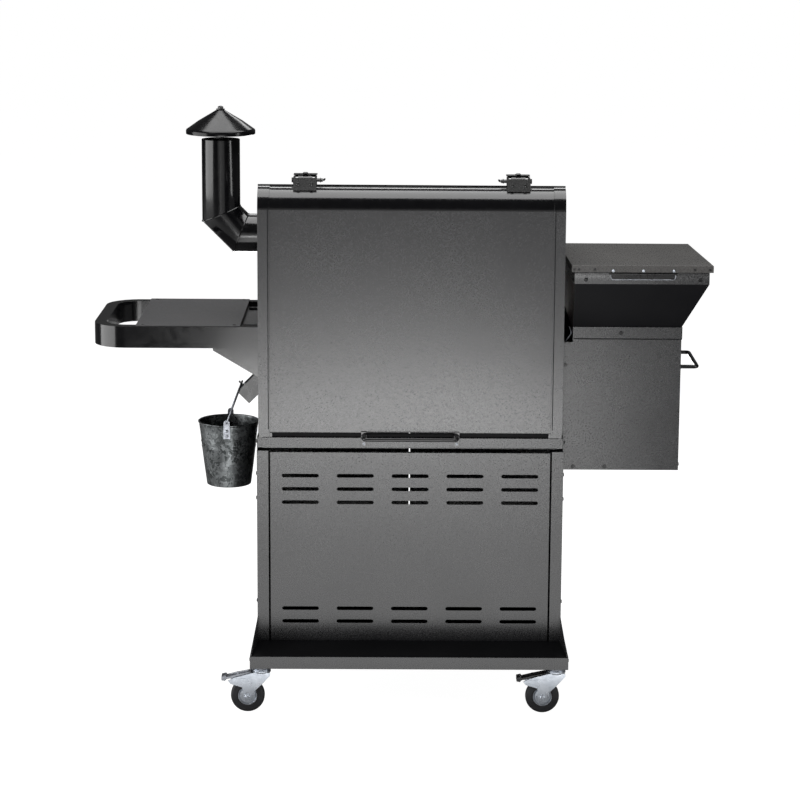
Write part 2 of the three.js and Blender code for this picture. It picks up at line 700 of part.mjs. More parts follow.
// Each door hangs in a group on its hinge line.
function door(side) {
  const [near, far] = [DOOR_HINGE.x - 323, DOOR_HINGE.x - 1.5];
  const leaf = (x0, x1, y0, y1, z0, z1) => sideBlock(-side, x0, x1, y0, y1, z0, z1);
  return cut(
    leaf(near, far, -14.5, -0.5, BASE_TOP + 3, CART_TOP - 2),
    leaf(near + SHEET, far - SHEET, -15, -2.5, BASE_TOP + 5, CART_TOP - 4),
  );
}

function doorHandle(side) {
  const x = -side * (DOOR_HINGE.x - 34);
  return bent(roundedPath([[x, -0.2, 440], [x, 28, 440], [x, 28, 560], [x, -0.2, 560]], 8), 5, 16);
}

for (const [name, side] of [['left', -1], ['right', 1]]) {
  const hinge = new THREE.Group();
  hinge.position.set(side * DOOR_HINGE.x, DOOR_HINGE.y, 0);
  grill.add(hinge);
  part(`cabinet_door_${name}`, door(side), PAINT, hinge);
  part(`door_handle_${name}`, doorHandle(side), ZINC, hinge);
}

// ---------------------------------------------------------------- casters
// A caster in its own group: the swivel axis is z, and the wheel trails along -x unless it is turned.
function casterStem() {
  const disc = rod('z', 21, 103.7, BASE_BOTTOM - GAP, 0, 0, 16);
  return join(disc, rod('z', 5, BASE_BOTTOM - 1, 122, 0, 0, 8));
}

function casterFork() {
  const { trail, radius } = CASTER;
  const leg = new THREE.Shape();
  leg.moveTo(-18, 96);
  leg.lineTo(-78, 76);
  leg.lineTo(-72, 68);
  leg.lineTo(-43, 61);
  leg.lineTo(-trail - 11, radius);
  leg.absarc(-trail, radius, 11, Math.PI, 2 * Math.PI, false);
  leg.lineTo(1, 68);
  leg.lineTo(20, 90);
  leg.lineTo(20, 96);
  return join(
    rod('z', 21, 94, 103.4, 0, 0, 16),
    extruded('y', leg, 15.5, 18, 3),
    extruded('y', leg, -18, -15.5, 3),
    block(-16, 16, -18, 18, 92, 96),
    rod('y', 4, -21, 21, -trail, radius, 10),
    rod('y', 7, 17.5, 22, -trail, radius, 6),
    rod('y', 7, -22, -17.5, -trail, radius, 6),
  );
}

function casterWheel() {
  const { trail, radius, width } = CASTER;
  const half = width / 2;
  return turned('y', [
    [4.4, -14.5], [9, -14.5], [9, -half], [radius - 3, -half], [radius, -half + 4], [radius, half - 4],
    [radius - 3, half], [9, half], [9, 14.5], [4.4, 14.5], [4.4, -14.5],
  ], 26, [-trail, 0, radius]);
}

function brakePedal() {
  const pedal = outline([
    [-24, 91], [-24, 96.6], [-58, 89.5], [-80, 84], [-82, 87.5],
    [-92, 85], [-92, 76], [-84, 74.5], [-80, 79],
  ]);
  return extruded('y', pedal, -13, 13);
}

for (const [corner, side, y, braked, turn] of [
  ['rear_left', -1, CASTER.yBack, true, 0],
  ['rear_right', 1, CASTER.yBack, true, 0],
  ['front_left', -1, CASTER.yFront, false, Math.PI],
  ['front_right', 1, CASTER.yFront, false, 0],
]) {
  const caster = new THREE.Group();
  caster.position.set(side * CASTER.x, y, 0);
  caster.rotation.z = turn;
  grill.add(caster);
  part(`caster_stem_${corner}`, casterStem(), ZINC, caster);
  part(`caster_fork_${corner}`, casterFork(), ZINC, caster);
  part(`caster_wheel_${corner}`, casterWheel(), TYRE, caster);
  if (braked) part(`brake_pedal_${corner}`, brakePedal(), ZINC, caster);
}

// ---------------------------------------------------------------- hopper
// The bin: an upright collar, a funnel that leans in, a throat and the auger's tube in one
// welded piece. `wall` shrinks it all round, for its hollow.
function hopperBin(wall) {
  const { left, right, near, far } = COLLAR;
  const spill = wall > 0 ? 2 : 0;
  const collar = shapedBox((isRight, isFront, isTop) => {
    const low = isFront ? COLLAR_FRONT_Z : COLLAR_REAR_Z;
    return [
      isRight ? right - wall : left + wall,
      isFront ? far - wall : near + wall,
      isTop ? low + COLLAR_HEIGHT + spill : low,
    ];
  });
  const funnel = shapedBox((isRight, isFront, isTop) => [
    isRight ? (isTop ? right : BOX.right) - wall : (isTop ? left : left + 2) + wall,
    isFront ? (isTop ? far : BOX.far) - wall : (isTop ? near : BOX.near) + wall,
    isTop ? (isFront ? COLLAR_FRONT_Z : COLLAR_REAR_Z) + 0.01 : BOX.top + GAP + wall,
  ]);
  const throat = shapedBox((isRight, isFront, isTop) => [
    isRight ? (isTop ? 610 : 500) - wall : (isTop ? 377 : 420) + wall,
    isFront ? (isTop ? 460 : MIDDLE_Y + 25) - wall : (isTop ? 75 : MIDDLE_Y - 25) + wall,
    isTop ? BOX.top + GAP + wall + 0.01 : AUGER_Z + 15,
  ]);
  const tube = rod('x', AUGER_TUBE_R - wall, 50 - spill, 534 + spill, MIDDLE_Y, AUGER_Z, 24);
  return join(collar, funnel, throat, tube);
}

function hopperBody() {
  const flange = rod('x', 44, 531, 534, MIDDLE_Y, AUGER_Z, 24);
  return cut(join(hopperBin(0), flange), hopperBin(SHEET));
}

function hopperBox() {
  const { left, right, near, far, bottom, top } = BOX;
  // The step in the left wall that clears the cabinet's side.
  const step = (wall) => block(
    left - 1, CART_HALF + GAP + wall, near - 1, far + 1, bottom - 1, RAIL_TOP + GAP + wall,
  );
  return cut(
    cut(block(left, right, near, far, bottom, top), step(0)),
    cut(
      block(left + SHEET, right - SHEET, near + SHEET, far - SHEET, bottom + SHEET, top + 1),
      step(SHEET),
    ),
    block(left - 1, left + 24, near - 1, far + 1, top - 36, top + 1),
    rod('x', AUGER_TUBE_R + 1, left - 1, left + 4, MIDDLE_Y, AUGER_Z, 24),
    rod('z', 50, bottom - 1, bottom + 4, 490, 330, 24),
    block(398, 590, far - 4, far + 1, 752, 842),
    block(right - 4, right + 1, 396, 424, 564, 586),
  );
}

function hopperLid() {
  const { left, right, near, far, rearTop, frontTop, lip } = HOPPER_LID;
  const dish = (wall, drop) => shapedBox((isRight, isFront, isTop) => [
    isRight ? right - wall : left + wall,
    isFront ? far - wall : near + wall,
    (isFront ? frontTop : rearTop) - (isTop ? wall : lip + drop),
  ]);
  return cut(dish(0, 0), dish(SHEET, 1));
}

function hopperHinge() {
  const { y, z, left, right } = HOPPER_HINGE;
  return join(
    block(left, right, y + 1.2, COLLAR.near - GAP, 984, 1006),
    rod('x', 2.7, left, right, y, z, 12),
  );
}

part('hopper_bin', hopperBody(), PAINT);
part('hopper_box', hopperBox(), PAINT);
part('hopper_lid', hopperLid(), ENAMEL);
part('hopper_lid_hinge', hopperHinge(), ZINC);
part('hopper_guard_grille', grid([378, 646], [48, 478], 928, 5, 5, 5, 6, 4), ZINC);
part('hopper_side_handle', bent(roundedPath([
  [BOX.right + GAP, 100, 774], [BOX.right + 42, 100, 774],
  [BOX.right + 42, 290, 774], [BOX.right + GAP, 290, 774],
], 10), 4.5, 18), ENAMEL);

// The auger: a shaft with one long screw blade wound round it.
function auger() {
  const [start, end, pitch, steps] = [70, 520, 75, 54];
  const helix = [];
  for (let i = 0; i <= steps; i += 1) {
    const x = start + ((end - start) * i) / steps;
    const angle = (2 * Math.PI * (x - start)) / pitch;
    helix.push([x, angle]);
  }
  const blade = (radius) => helix.map(([x, angle]) => [
    x, MIDDLE_Y + radius * Math.cos(angle), AUGER_Z + radius * Math.sin(angle),
  ]);
  const [inner, outer] = [blade(5), blade(28)];
  const points = [];
  for (let i = 0; i <= steps; i += 1) {
    for (const [ring, shift] of [[inner, -1.5], [outer, -1.5], [outer, 1.5], [inner, 1.5]]) {
      points.push(ring[i][0] + shift, ring[i][1], ring[i][2]);
    }
  }
  const faces = [0, 2, 1, 0, 3, 2];
  for (let i = 0; i < steps; i += 1) {
    for (let k = 0; k < 4; k += 1) {
      const [a, b] = [4 * i + k, 4 * i + ((k + 1) % 4)];
      faces.push(a, b, b + 4, a, b + 4, a + 4);
    }
  }
  const last = 4 * steps;
  faces.push(last, last + 1, last + 2, last, last + 2, last + 3);
  const geometry = new THREE.BufferGeometry();
  geometry.setAttribute('position', new THREE.Float32BufferAttribute(points, 3));
  geometry.setIndex(faces);
  return join(rod('x', 7, 62, 552, MIDDLE_Y, AUGER_Z, 12), solid(geometry));
}

function augerMotor() {
  return cut(
    join(
      block(534.3, 578, MIDDLE_Y - 38, MIDDLE_Y + 38, AUGER_Z - 42, AUGER_Z + 42),
      rod('x', 28, 577, 616, MIDDLE_Y, AUGER_Z, 20),
    ),
    rod('x', 7.6, 530, 556, MIDDLE_Y, AUGER_Z, 16),
  );
}

function fanFrame() {
  const [x, y, z] = [490, 330, BOX.bottom + SHEET + GAP];
  return join(
    cut(block(x - 60, x + 60, y - 60, y + 60, z, z + 25), rod('z', 55, z - 1, z + 26, x, y, 22)),
    rod('z', 18, z, z + 5, x, y, 14),
    block(x - 57, x + 57, y - 3, y + 3, z, z + 4),
    block(x - 3, x + 3, y - 57, y + 57, z, z + 4),
  );
}

function fanImpeller() {
  const blades = 7;
  let wheel = turned('z', [[0, 0], [20, 0], [20, 17], [0, 17]], 14);
  for (let i = 0; i < blades; i += 1) {
    const blade = slab(17, 52, -9, 9, -1.2, 1.2).rotateX(0.7).translate(0, 0, 8.5);
    wheel = wheel.add(solid(blade.rotateZ((2 * Math.PI * i) / blades)));
  }
  return wheel;
}

part('auger_screw', auger(), RAW_STEEL);
part('auger_motor', augerMotor(), IRON);
part('fan_frame', fanFrame(), PLASTIC);
part('fan_impeller', fanImpeller(), PLASTIC).position.set(490, 330, BOX.bottom + SHEET + 7);

// ---------------------------------------------------------------- controls, on the hopper's front
const CONTROLS = { left: 392, right: 596, bottom: 746, top: 848, face: BOX.far + GAP };
const KNOB = { x: 436, z: 790 };
const BUTTON = { x: 562, z: 770, radius: 8 };

function controlPanel() {
  const { left, right, bottom, top, face } = CONTROLS;
  return cut(
    join(
      block(left, right, face, face + 4, bottom, top),
      block(left + 10, right - 10, face - 28, face + 1, bottom + 10, top - 10),
    ),
    rod('y', BUTTON.radius + 0.4, face - 12, face + 6, BUTTON.x, BUTTON.z, 20),
    rod('y', 4.4, face - 12, face + 6, KNOB.x, KNOB.z, 12),
  );
}

function knob() {
  const face = CONTROLS.face + 4;
  return turned('y', [
    [0, -12], [4, -12], [4, 0.5], [20, 0.5], [17, 20], [0, 20],
  ], 20, [KNOB.x, face, KNOB.z]);
}

function powerButton() {
  return rod('y', BUTTON.radius, CONTROLS.face - 5, CONTROLS.face + 8, BUTTON.x, BUTTON.z, 20);
}

function powerInlet() {
  return join(
    block(BOX.right + GAP, BOX.right + 2.6, 391, 429, 559, 591),
    block(BOX.right - 22, BOX.right + 1, 397, 423, 565, 585),
  );
}

part('control_panel', controlPanel(), PLASTIC);
part('control_knob', knob(), PLASTIC);
part('power_button', powerButton(), PLASTIC);
part('power_inlet', powerInlet(), PLASTIC);

export default object;
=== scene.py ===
"""Pellet smoker grill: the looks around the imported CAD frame.

Lengths in this file are millimetres in the CAD source's own layout: x from the chamber's middle,
y is the depth from its rear face, z is the height above the floor. place() turns them into metres.
"""

import math

import bmesh
import bpy
from mathutils import Matrix, Vector


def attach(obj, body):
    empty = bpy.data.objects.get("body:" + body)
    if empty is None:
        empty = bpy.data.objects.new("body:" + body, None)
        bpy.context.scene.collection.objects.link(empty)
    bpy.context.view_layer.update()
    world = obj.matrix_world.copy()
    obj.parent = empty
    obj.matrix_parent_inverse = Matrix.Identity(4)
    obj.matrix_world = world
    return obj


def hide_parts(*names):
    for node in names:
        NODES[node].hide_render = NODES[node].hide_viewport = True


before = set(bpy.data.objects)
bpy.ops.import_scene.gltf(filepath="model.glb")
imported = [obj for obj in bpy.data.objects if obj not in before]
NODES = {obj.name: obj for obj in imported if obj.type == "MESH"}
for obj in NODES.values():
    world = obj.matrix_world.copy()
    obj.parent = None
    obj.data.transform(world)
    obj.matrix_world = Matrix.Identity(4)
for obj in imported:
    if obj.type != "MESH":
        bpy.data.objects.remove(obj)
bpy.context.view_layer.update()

LAYOUT_X, LAYOUT_Y = 26.0, -225.0
MM = 0.001

CHAMBER_HALF, CART_HALF, BASE_HALF = 350, 353.8, 365
RAIL_TOP_GAP, CHAMBER_FLOOR_GAP = 621.3, 630.7
FLUE_X, FLUE_STUB_Z = -450, 1058
LID_HANDLE_Y, LID_HANDLE_Z = 560, 919
DOOR_PIVOT_X, DOOR_PIVOT_Y = 324, 517.5
CASTER_X, CASTER_REAR_Y, CASTER_FRONT_Y = 339, -107, 557
HOOK_X, HOOK_Y, HOOK_Z = -402, 260, 702
BAIL_HEIGHT = 93
BOX_RIGHT, BOX_NEAR, BOX_FAR = 626.5, 70, 465
KNOB_X, KNOB_Z = 436, 790
BUTTON_X, BUTTON_Z = 562, 770

REAR, FRONT, LEFT, RIGHT, UP = (0, -1, 0), (0, 1, 0), (-1, 0, 0), (1, 0, 0), (0, 0, 1)


def place(p):
    """A point of the CAD layout in metres, in the row frame."""
    return Vector(((p[0] + LAYOUT_X) * MM, (p[1] + LAYOUT_Y) * MM, p[2] * MM))


# ------------------------------------------------------------------ materials
class Nodes:
    """A short way to build a node tree."""

    def __init__(self, name):
        self.material = bpy.data.materials.new(name)
        self.material.use_nodes = True
        self.tree = self.material.node_tree
        self.shader = self.tree.nodes["Principled BSDF"]
        self.where = self.add("ShaderNodeTexCoord").outputs["Object"]

    def add(self, kind, **settings):
        node = self.tree.nodes.new(kind)
        for key, value in settings.items():
            setattr(node, key, value)
        return node

    def link(self, source, target):
        self.tree.links.new(source, target)

    def set(self, **values):
        for key, value in values.items():
            self.shader.inputs[key.replace("_", " ")].default_value = value

    def scaled(self, scale):
        mapping = self.add("ShaderNodeMapping")
        mapping.inputs["Scale"].default_value = scale
        self.link(self.where, mapping.inputs["Vector"])
        return mapping.outputs["Vector"]

    def noise(self, scale, detail=2.0, roughness=0.5, vector=None):
        node = self.add("ShaderNodeTexNoise")
        node.inputs["Scale"].default_value = scale
        node.inputs["Detail"].default_value = detail
        node.inputs["Roughness"].default_value = roughness
        self.link(vector or self.where, node.inputs["Vector"])
        return node.outputs["Fac"]

    def cells(self, scale):
        node = self.add("ShaderNodeTexVoronoi", feature="SMOOTH_F1")
        node.inputs["Scale"].default_value = scale
        self.link(self.where, node.inputs["Vector"])
        return node.outputs["Distance"]

    def spread(self, value, low, high, start=0.3, stop=0.7):
        """Maps value from start..stop to low..high."""
        node = self.add("ShaderNodeMapRange")
        for key, number in (("From Min", start), ("From Max", stop), ("To Min", low), ("To Max", high)):
            node.inputs[key].default_value = number
        self.link(value, node.inputs["Value"])
        return node.outputs["Result"]

    def tint(self, value, dark, light, start=0.3, stop=0.7):
        ramp = self.add("ShaderNodeValToRGB")
        ramp.color_ramp.elements[0].position = start
        ramp.color_ramp.elements[1].position = stop
        ramp.color_ramp.elements[0].color = (*dark, 1)
        ramp.color_ramp.elements[1].color = (*light, 1)
        self.link(value, ramp.inputs["Fac"])
        return ramp.outputs["Color"]

    def math(self, operation, a, b):
        node = self.add("ShaderNodeMath", operation=operation)
        for index, value in enumerate((a, b)):
            if isinstance(value, (int, float)):
                node.inputs[index].default_value = value
            else:
                self.link(value, node.inputs[index])
        return node.outputs["Value"]

    def color(self, socket):
        self.link(socket, self.shader.inputs["Base Color"])

    def rough(self, socket):
        self.link(socket, self.shader.inputs["Roughness"])

    def bump(self, height, strength, distance):
        node = self.add("ShaderNodeBump")
        node.inputs["Strength"].default_value = strength
        node.inputs["Distance"].default_value = distance
        self.link(height, node.inputs["Height"])
        self.link(node.outputs["Normal"], self.shader.inputs["Normal"])


def powder_coat(name, dark, light, rough=(0.40, 0.50), grain=0.55, pit_shade=0.12, gleam=0.5):
    """Textured black powder coat: a pebbled surface whose colour is painted lighter on its peaks and darker
    in its pits, painted light and shade on the pebbling.
    """
    n = Nodes(name)
    pebbles = n.noise(330.0, 3.0, 0.65)
    fine = n.noise(900.0, 2.0, 0.6)
    clouds = n.math("MULTIPLY", n.noise(7.0, 3.0, 0.5), 1.0 - pit_shade)
    # the pebble height mixed into the colour paints shade in the pits and light on the peaks
    n.color(n.tint(n.math("ADD", clouds, n.math("MULTIPLY", pebbles, pit_shade)), dark, light, 0.35, 0.65))
    n.rough(n.spread(pebbles, *rough))
    n.bump(n.math("ADD", pebbles, n.math("MULTIPLY", fine, 0.4)), grain, 0.0003)
    n.set(Specular_IOR_Level=gleam)
    return n.material


def enamel(name, base, rough=(0.13, 0.22), peel=0.10, gleam=0.5):
    n = Nodes(name)
    clouds = n.noise(14.0, 3.0, 0.55)
    n.color(n.tint(clouds, base, tuple(1.5 * c for c in base)))
    n.rough(n.spread(n.noise(60.0, 4.0, 0.65), *rough))
    n.bump(n.noise(210.0, 2.0, 0.5), peel, 0.0004)
    n.set(Specular_IOR_Level=gleam, Coat_Weight=0.7 * gleam, Coat_Roughness=0.08)
    return n.material


def plated(name, dark, light, rough=(0.24, 0.40), cloud=26.0, brushed=None):
    n = Nodes(name)
    vector = n.scaled(brushed) if brushed else None
    clouds = n.noise(cloud, 4.0, 0.62)
    n.color(n.tint(clouds, dark, light))
    n.rough(n.spread(n.noise(cloud * 5, 4.0, 0.65, vector), *rough))
    n.bump(n.noise(700.0, 3.0, 0.6, vector), 0.16, 0.0002)
    n.set(Metallic=1.0)
    return n.material


def galvanised(name):
    n = Nodes(name)
    wobble = n.add("ShaderNodeMix", data_type="VECTOR", factor_mode="UNIFORM")
    wobble.inputs["Factor"].default_value = 0.06
    noise = n.add("ShaderNodeTexNoise")
    noise.inputs["Scale"].default_value = 60.0
    n.link(n.where, noise.inputs["Vector"])
    n.link(n.where, wobble.inputs[4])
    n.link(noise.outputs["Color"], wobble.inputs[5])
    crystal = n.add("ShaderNodeTexVoronoi", feature="F1")
    crystal.inputs["Scale"].default_value = 95.0
    n.link(wobble.outputs[1], crystal.inputs["Vector"])
    tone = n.add("ShaderNodeSeparateColor")
    n.link(crystal.outputs["Color"], tone.inputs["Color"])
    mixed = n.math(
        "ADD", n.math("MULTIPLY", tone.outputs["Red"], 0.75),
        n.math("MULTIPLY", n.noise(30.0, 4.0), 0.4),
    )
    n.color(n.tint(mixed, (0.045, 0.05, 0.05), (0.27, 0.285, 0.29), 0.15, 0.95))
    n.rough(n.spread(tone.outputs["Green"], 0.26, 0.52, 0.0, 1.0))
    n.bump(mixed, 0.18, 0.0006)
    n.set(Metallic=1.0)
    return n.material


def rubber(name):
    n = Nodes(name)
    n.color(n.tint(n.noise(45.0, 4.0, 0.6), (0.016, 0.016, 0.019), (0.034, 0.034, 0.038)))
    n.rough(n.spread(n.noise(160.0, 4.0, 0.6), 0.52, 0.74))
    n.bump(n.noise(900.0, 3.0, 0.6), 0.25, 0.0003)
    return n.material


def plastic(name, dark, light, rough=(0.34, 0.46), grain=0.3):
    n = Nodes(name)
    n.color(n.tint(n.noise(30.0, 3.0), dark, light))
    n.rough(n.spread(n.noise(420.0, 2.0), *rough))
    n.bump(n.cells(1300.0), grain, 0.0002)
    return n.material


def screen_glass(name):
    n = Nodes(name)
    n.color(n.tint(n.noise(18.0, 2.0), (0.006, 0.012, 0.016), (0.012, 0.022, 0.028)))
    n.rough(n.spread(n.noise(90.0, 3.0), 0.05, 0.11))
    n.set(Coat_Weight=0.6, Coat_Roughness=0.03)
    return n.material


def heat_stained(name):
    n = Nodes(name)
    grain = n.noise(240.0, 4.0, 0.6, n.scaled((1.0, 0.06, 1.0)))
    n.color(n.tint(n.noise(12.0, 4.0, 0.6), (0.20, 0.175, 0.15), (0.42, 0.40, 0.38)))
    n.rough(n.spread(grain, 0.32, 0.52))
    n.bump(grain, 0.15, 0.0003)
    n.set(Metallic=1.0)
    return n.material


PANEL = powder_coat(
    "panel_powder_coat", (0.010, 0.010, 0.011), (0.030, 0.030, 0.032), (0.18, 0.27), 0.25, 0.7, 0.9,
)
CART = powder_coat(
    "cart_powder_coat", (0.010, 0.010, 0.011), (0.028, 0.028, 0.030), (0.20, 0.30), 0.25, 0.6, 0.8,
)
# a darker, duller copy of the cart coat for the base tray's top faces: painted shade on the tray top
SHADED_TRAY_TOP = powder_coat(
    "tray_top_painted_shade", (0.0015, 0.0015, 0.002), (0.003, 0.003, 0.0035), (0.40, 0.50), 0.10, gleam=0.12,
)
# the hopper funnel's smooth black coat; the same near-black also paints shadow in the chamber seams and
# under the hopper skirt
SMOOTH_COAT_AND_SHADE = powder_coat(
    "hopper_smooth_coat_and_painted_shade", (0.002, 0.002, 0.003), (0.004, 0.004, 0.005), (0.34, 0.42), 0.08, gleam=0.1,
)
SHELF_COAT = powder_coat(
    "shelf_powder_coat", (0.026, 0.026, 0.028), (0.036, 0.035, 0.037), (0.36, 0.46), 0.15,
)
# a grey base colour on the hopper lid's black coat: painted sheen of the overhead light on its upward face
LID_PAINTED_SHEEN = powder_coat(
    "hopper_lid_painted_sheen", (0.060, 0.058, 0.056), (0.074, 0.071, 0.068), (0.24, 0.32), 0.06,
)
GLOSS = enamel("gloss_black_enamel", (0.0015, 0.0015, 0.002))
CAP_COAT = enamel("cap_black_enamel", (0.0015, 0.0015, 0.002), (0.16, 0.26), 0.12, 0.27)
SATIN = enamel("satin_black_enamel", (0.003, 0.003, 0.0035), (0.24, 0.34), 0.16)
IRON = enamel("black_iron", (0.004, 0.004, 0.004), (0.20, 0.32), 0.30)
ZINC = plated("bright_zinc", (0.52, 0.56, 0.62), (0.74, 0.78, 0.84))
DULL_ZINC = plated("dull_zinc", (0.30, 0.31, 0.34), (0.46, 0.48, 0.52), (0.30, 0.48))
STAINLESS = plated(
    "brushed_stainless", (0.50, 0.50, 0.50), (0.66, 0.66, 0.65), (0.18, 0.34), 20.0, (0.04, 1, 1),
)
BUCKET = galvanised("galvanised_spangle")
TYRE = rubber("tyre_rubber")
PLASTIC = plastic("black_plastic", (0.010, 0.010, 0.011), (0.018, 0.018, 0.019))
WHITE_MARK = plastic("pale_marking", (0.55, 0.55, 0.54), (0.70, 0.70, 0.68), (0.4, 0.5), 0.1)
SCREEN = screen_glass("display_glass")
RAW = heat_stained("heat_stained_steel")


# ------------------------------------------------------------------ shapes
def basis_for(axis):
    """Two unit vectors square to a direction."""
    axis = Vector(axis).normalized()
    helper = Vector((0, 0, 1)) if abs(axis.z) < 0.9 else Vector((1, 0, 0))
    side = axis.cross(helper).normalized()
    return side, axis.cross(side).normalized(), axis


class Shape:
    """Vertices and faces of one piece, in millimetres of the CAD layout."""

    def __init__(self):
        self.points, self.faces, self.slots = [], [], []

    def face(self, indices, slot=0):
        self.faces.append(indices)
        self.slots.append(slot)

    def rings(self, rings, slot=0, loop=False):
        """Joins rings of equal length one after another, and closes the two ends or joins them in a loop."""
        first, count = len(self.points), len(rings[0])
        for ring in rings:
            self.points.extend(Vector(p) for p in ring)
        pairs = len(rings) if loop else len(rings) - 1
        for i in range(pairs):
            a, b = first + i * count, first + ((i + 1) % len(rings)) * count
            for k in range(count):
                m = (k + 1) % count
                self.face([a + k, a + m, b + m, b + k], slot)
        if not loop:
            self.face([first + k for k in reversed(range(count))], slot)
            self.face([first + (len(rings) - 1) * count + k for k in range(count)], slot)
        return self

    def turned(self, profile, centre, axis, sides=48, slot=0):
        """A profile of (radius, height) pairs turned about an axis; closed when it returns to its start."""
        u, v, w = basis_for(axis)
        centre = Vector(centre)
        rings = []
        loop = profile[0] == profile[-1]
        for radius, height in profile[:-1] if loop else profile:
            r = max(radius, 0.01)
            rings.append([
                centre + w * height + u * (r * math.cos(t)) + v * (r * math.sin(t))
                for t in (2 * math.pi * k / sides for k in range(sides))
            ])
        return self.rings(rings, slot, loop=loop)

    def tube(self, path, radius, sides=20, slot=0):
        """A round bar along a path of points."""
        path = [Vector(p) for p in path]
        tangents = []
        for i in range(len(path)):
            ahead, behind = path[min(i + 1, len(path) - 1)], path[max(i - 1, 0)]
            tangents.append((ahead - behind).normalized())
        u, v, _ = basis_for(tangents[0])
        rings = []
        for i, (p, t) in enumerate(zip(path, tangents)):
            if i:
                turn = tangents[i - 1].rotation_difference(t)
                u, v = turn @ u, turn @ v
            rings.append([
                p + u * (radius * math.cos(a)) + v * (radius * math.sin(a))
                for a in (2 * math.pi * k / sides for k in range(sides))
            ])
        return self.rings(rings, slot)

    def box(self, low, high, slot=0):
        (x0, y0, z0), (x1, y1, z1) = low, high
        return self.rings([
            [(x0, y0, z0), (x1, y0, z0), (x1, y1, z0), (x0, y1, z0)],
            [(x0, y0, z1), (x1, y0, z1), (x1, y1, z1), (x0, y1, z1)],
        ], slot)

    def prism(self, outline, reach, slot=0):
        """A flat outline of 3-D points carried by `reach`."""
        base = [Vector(p) for p in outline]
        return self.rings([base, [p + Vector(reach) for p in base]], slot)

    def dome(self, centre, axis, radius, height, sides=20, slot=0, neck=0.4):
        """A low pan head that stands on a surface at `centre`."""
        steps = 5
        profile = [(0.01, -0.3), (radius, -0.3), (radius, neck)]
        for i in range(1, steps + 1):
            t = math.pi / 2 * i / steps
            profile.append((max(radius * math.cos(t), 0.01), neck + (height - neck) * math.sin(t)))
        return self.turned(profile, centre, axis, sides, slot)

    def hex(self, centre, axis, radius, height, slot=0):
        """A hexagon nut or bolt head."""
        return self.turned(
            [(0.01, 0), (radius, 0), (radius, height - 0.8), (radius - 1.0, height), (0.01, height)],
            centre, axis, 6, slot,
        )


CORNER_STEPS = 8


def rounded(points, bend):
    """Straight lengths with round corners, as a list of points."""
    points = [Vector(p) for p in points]
    path = [points[0]]
    for before, corner, after in zip(points, points[1:], points[2:]):
        a = corner + (before - corner).normalized() * bend
        b = corner + (after - corner).normalized() * bend
        for i in range(CORNER_STEPS + 1):
            t = i / CORNER_STEPS
            path.append(a * (1 - t) ** 2 + corner * (2 * t * (1 - t)) + b * t**2)
    path.append(points[-1])
    return path


BEVEL_ANGLE, SHARP_ANGLE = math.radians(32), math.radians(40)
BEVEL_SEGMENTS = 2
WELD_REACH = 0.00002    # metres


def soften(obj, width):
    """Small rounded edges, as folded and sheared steel has."""
    modifier = obj.modifiers.new("soft_edges", "BEVEL")
    modifier.width = width * MM
    modifier.segments = BEVEL_SEGMENTS
    modifier.limit_method = "ANGLE"
    modifier.angle_limit = BEVEL_ANGLE
    modifier.harden_normals = True
    modifier.miter_outer = "MITER_ARC"


def piece(name, shape, body, materials, replaces=(), edge=0.0):
    """Makes a Blender object of a Shape and puts it on its CAD body."""
    mesh = bpy.data.meshes.new(name)
    mesh.from_pydata([place(p) for p in shape.points], [], shape.faces)
    tidy = bmesh.new()
    tidy.from_mesh(mesh)
    bmesh.ops.recalc_face_normals(tidy, faces=tidy.faces)
    tidy.to_mesh(mesh)
    tidy.free()
    for polygon, index in zip(mesh.polygons, shape.slots):
        polygon.material_index = index
        polygon.use_smooth = True
    mesh.set_sharp_from_angle(angle=SHARP_ANGLE)
    obj = bpy.data.objects.new(name, mesh)
    bpy.context.scene.collection.objects.link(obj)
    for material in materials if isinstance(materials, (list, tuple)) else [materials]:
        mesh.materials.append(material)
    if edge:
        soften(obj, edge)
    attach(obj, body)
    if replaces:
        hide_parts(*replaces)


def dress(node, material, edge):
    """Gives a CAD node its finish; its edges are rounded by modifiers, and its vertices stay."""
    obj = NODES[node]
    mesh = obj.data
    mesh.materials.clear()
    mesh.materials.append(material)
    if "custom_normal" in mesh.attributes:
        mesh.attributes.remove(mesh.attributes["custom_normal"])
    for polygon in mesh.polygons:
        polygon.use_smooth = True
        polygon.material_index = 0
    weld = obj.modifiers.new("weld", "WELD")
    weld.merge_threshold = WELD_REACH
    soften(obj, edge)


# ------------------------------------------------------------------ carried-over CAD nodes
FINISHES = {
    PANEL: (0.6, ["chamber_end_left", "chamber_end_right", "chamber_shell"]),
    CART: (0.6, [
        "base_tray", "cabinet_side_left", "cabinet_side_right", "cabinet_rear_panel",
        "cabinet_door_left", "cabinet_door_right", "hopper_box", "rear_cross_rail", "front_cross_rail",
    ]),
    SMOOTH_COAT_AND_SHADE: (0.7, ["hopper_bin"]),
    SHELF_COAT: (0.5, ["shelf_plate"]),
    LID_PAINTED_SHEEN: (0.8, ["hopper_lid"]),
    GLOSS: (0.7, ["lid_shell", "shelf_frame"]),
    SATIN: (0.6, ["drain_chute"]),
    IRON: (0.6, ["lid_hinge_left", "lid_hinge_right", "cooking_grate", "auger_motor"]),
    DULL_ZINC: (0.4, ["upper_rack", "hopper_guard_grille", "igniter_rod", "temperature_probe"]),
    PLASTIC: (0.6, ["control_panel", "fan_frame", "fan_impeller", "power_inlet"]),
    RAW: (0.5, ["grease_tray", "heat_baffle", "fire_pot", "auger_screw"]),
}
for finish, (edge, names) in FINISHES.items():
    for name in names:
        dress(name, finish, edge)


def second_finish(node, material, chosen):
    """A second finish on the faces of a CAD node that `chosen` picks by their outward normal and centre."""
    mesh = NODES[node].data
    mesh.materials.append(material)
    for polygon in mesh.polygons:
        if chosen(polygon.normal, polygon.center):
            polygon.material_index = len(mesh.materials) - 1


CORNER_START = place((0, 0, 1146.0)).z


def is_rounded_top(normal, centre):
    return centre.z > CORNER_START and abs(normal.x) < 0.5


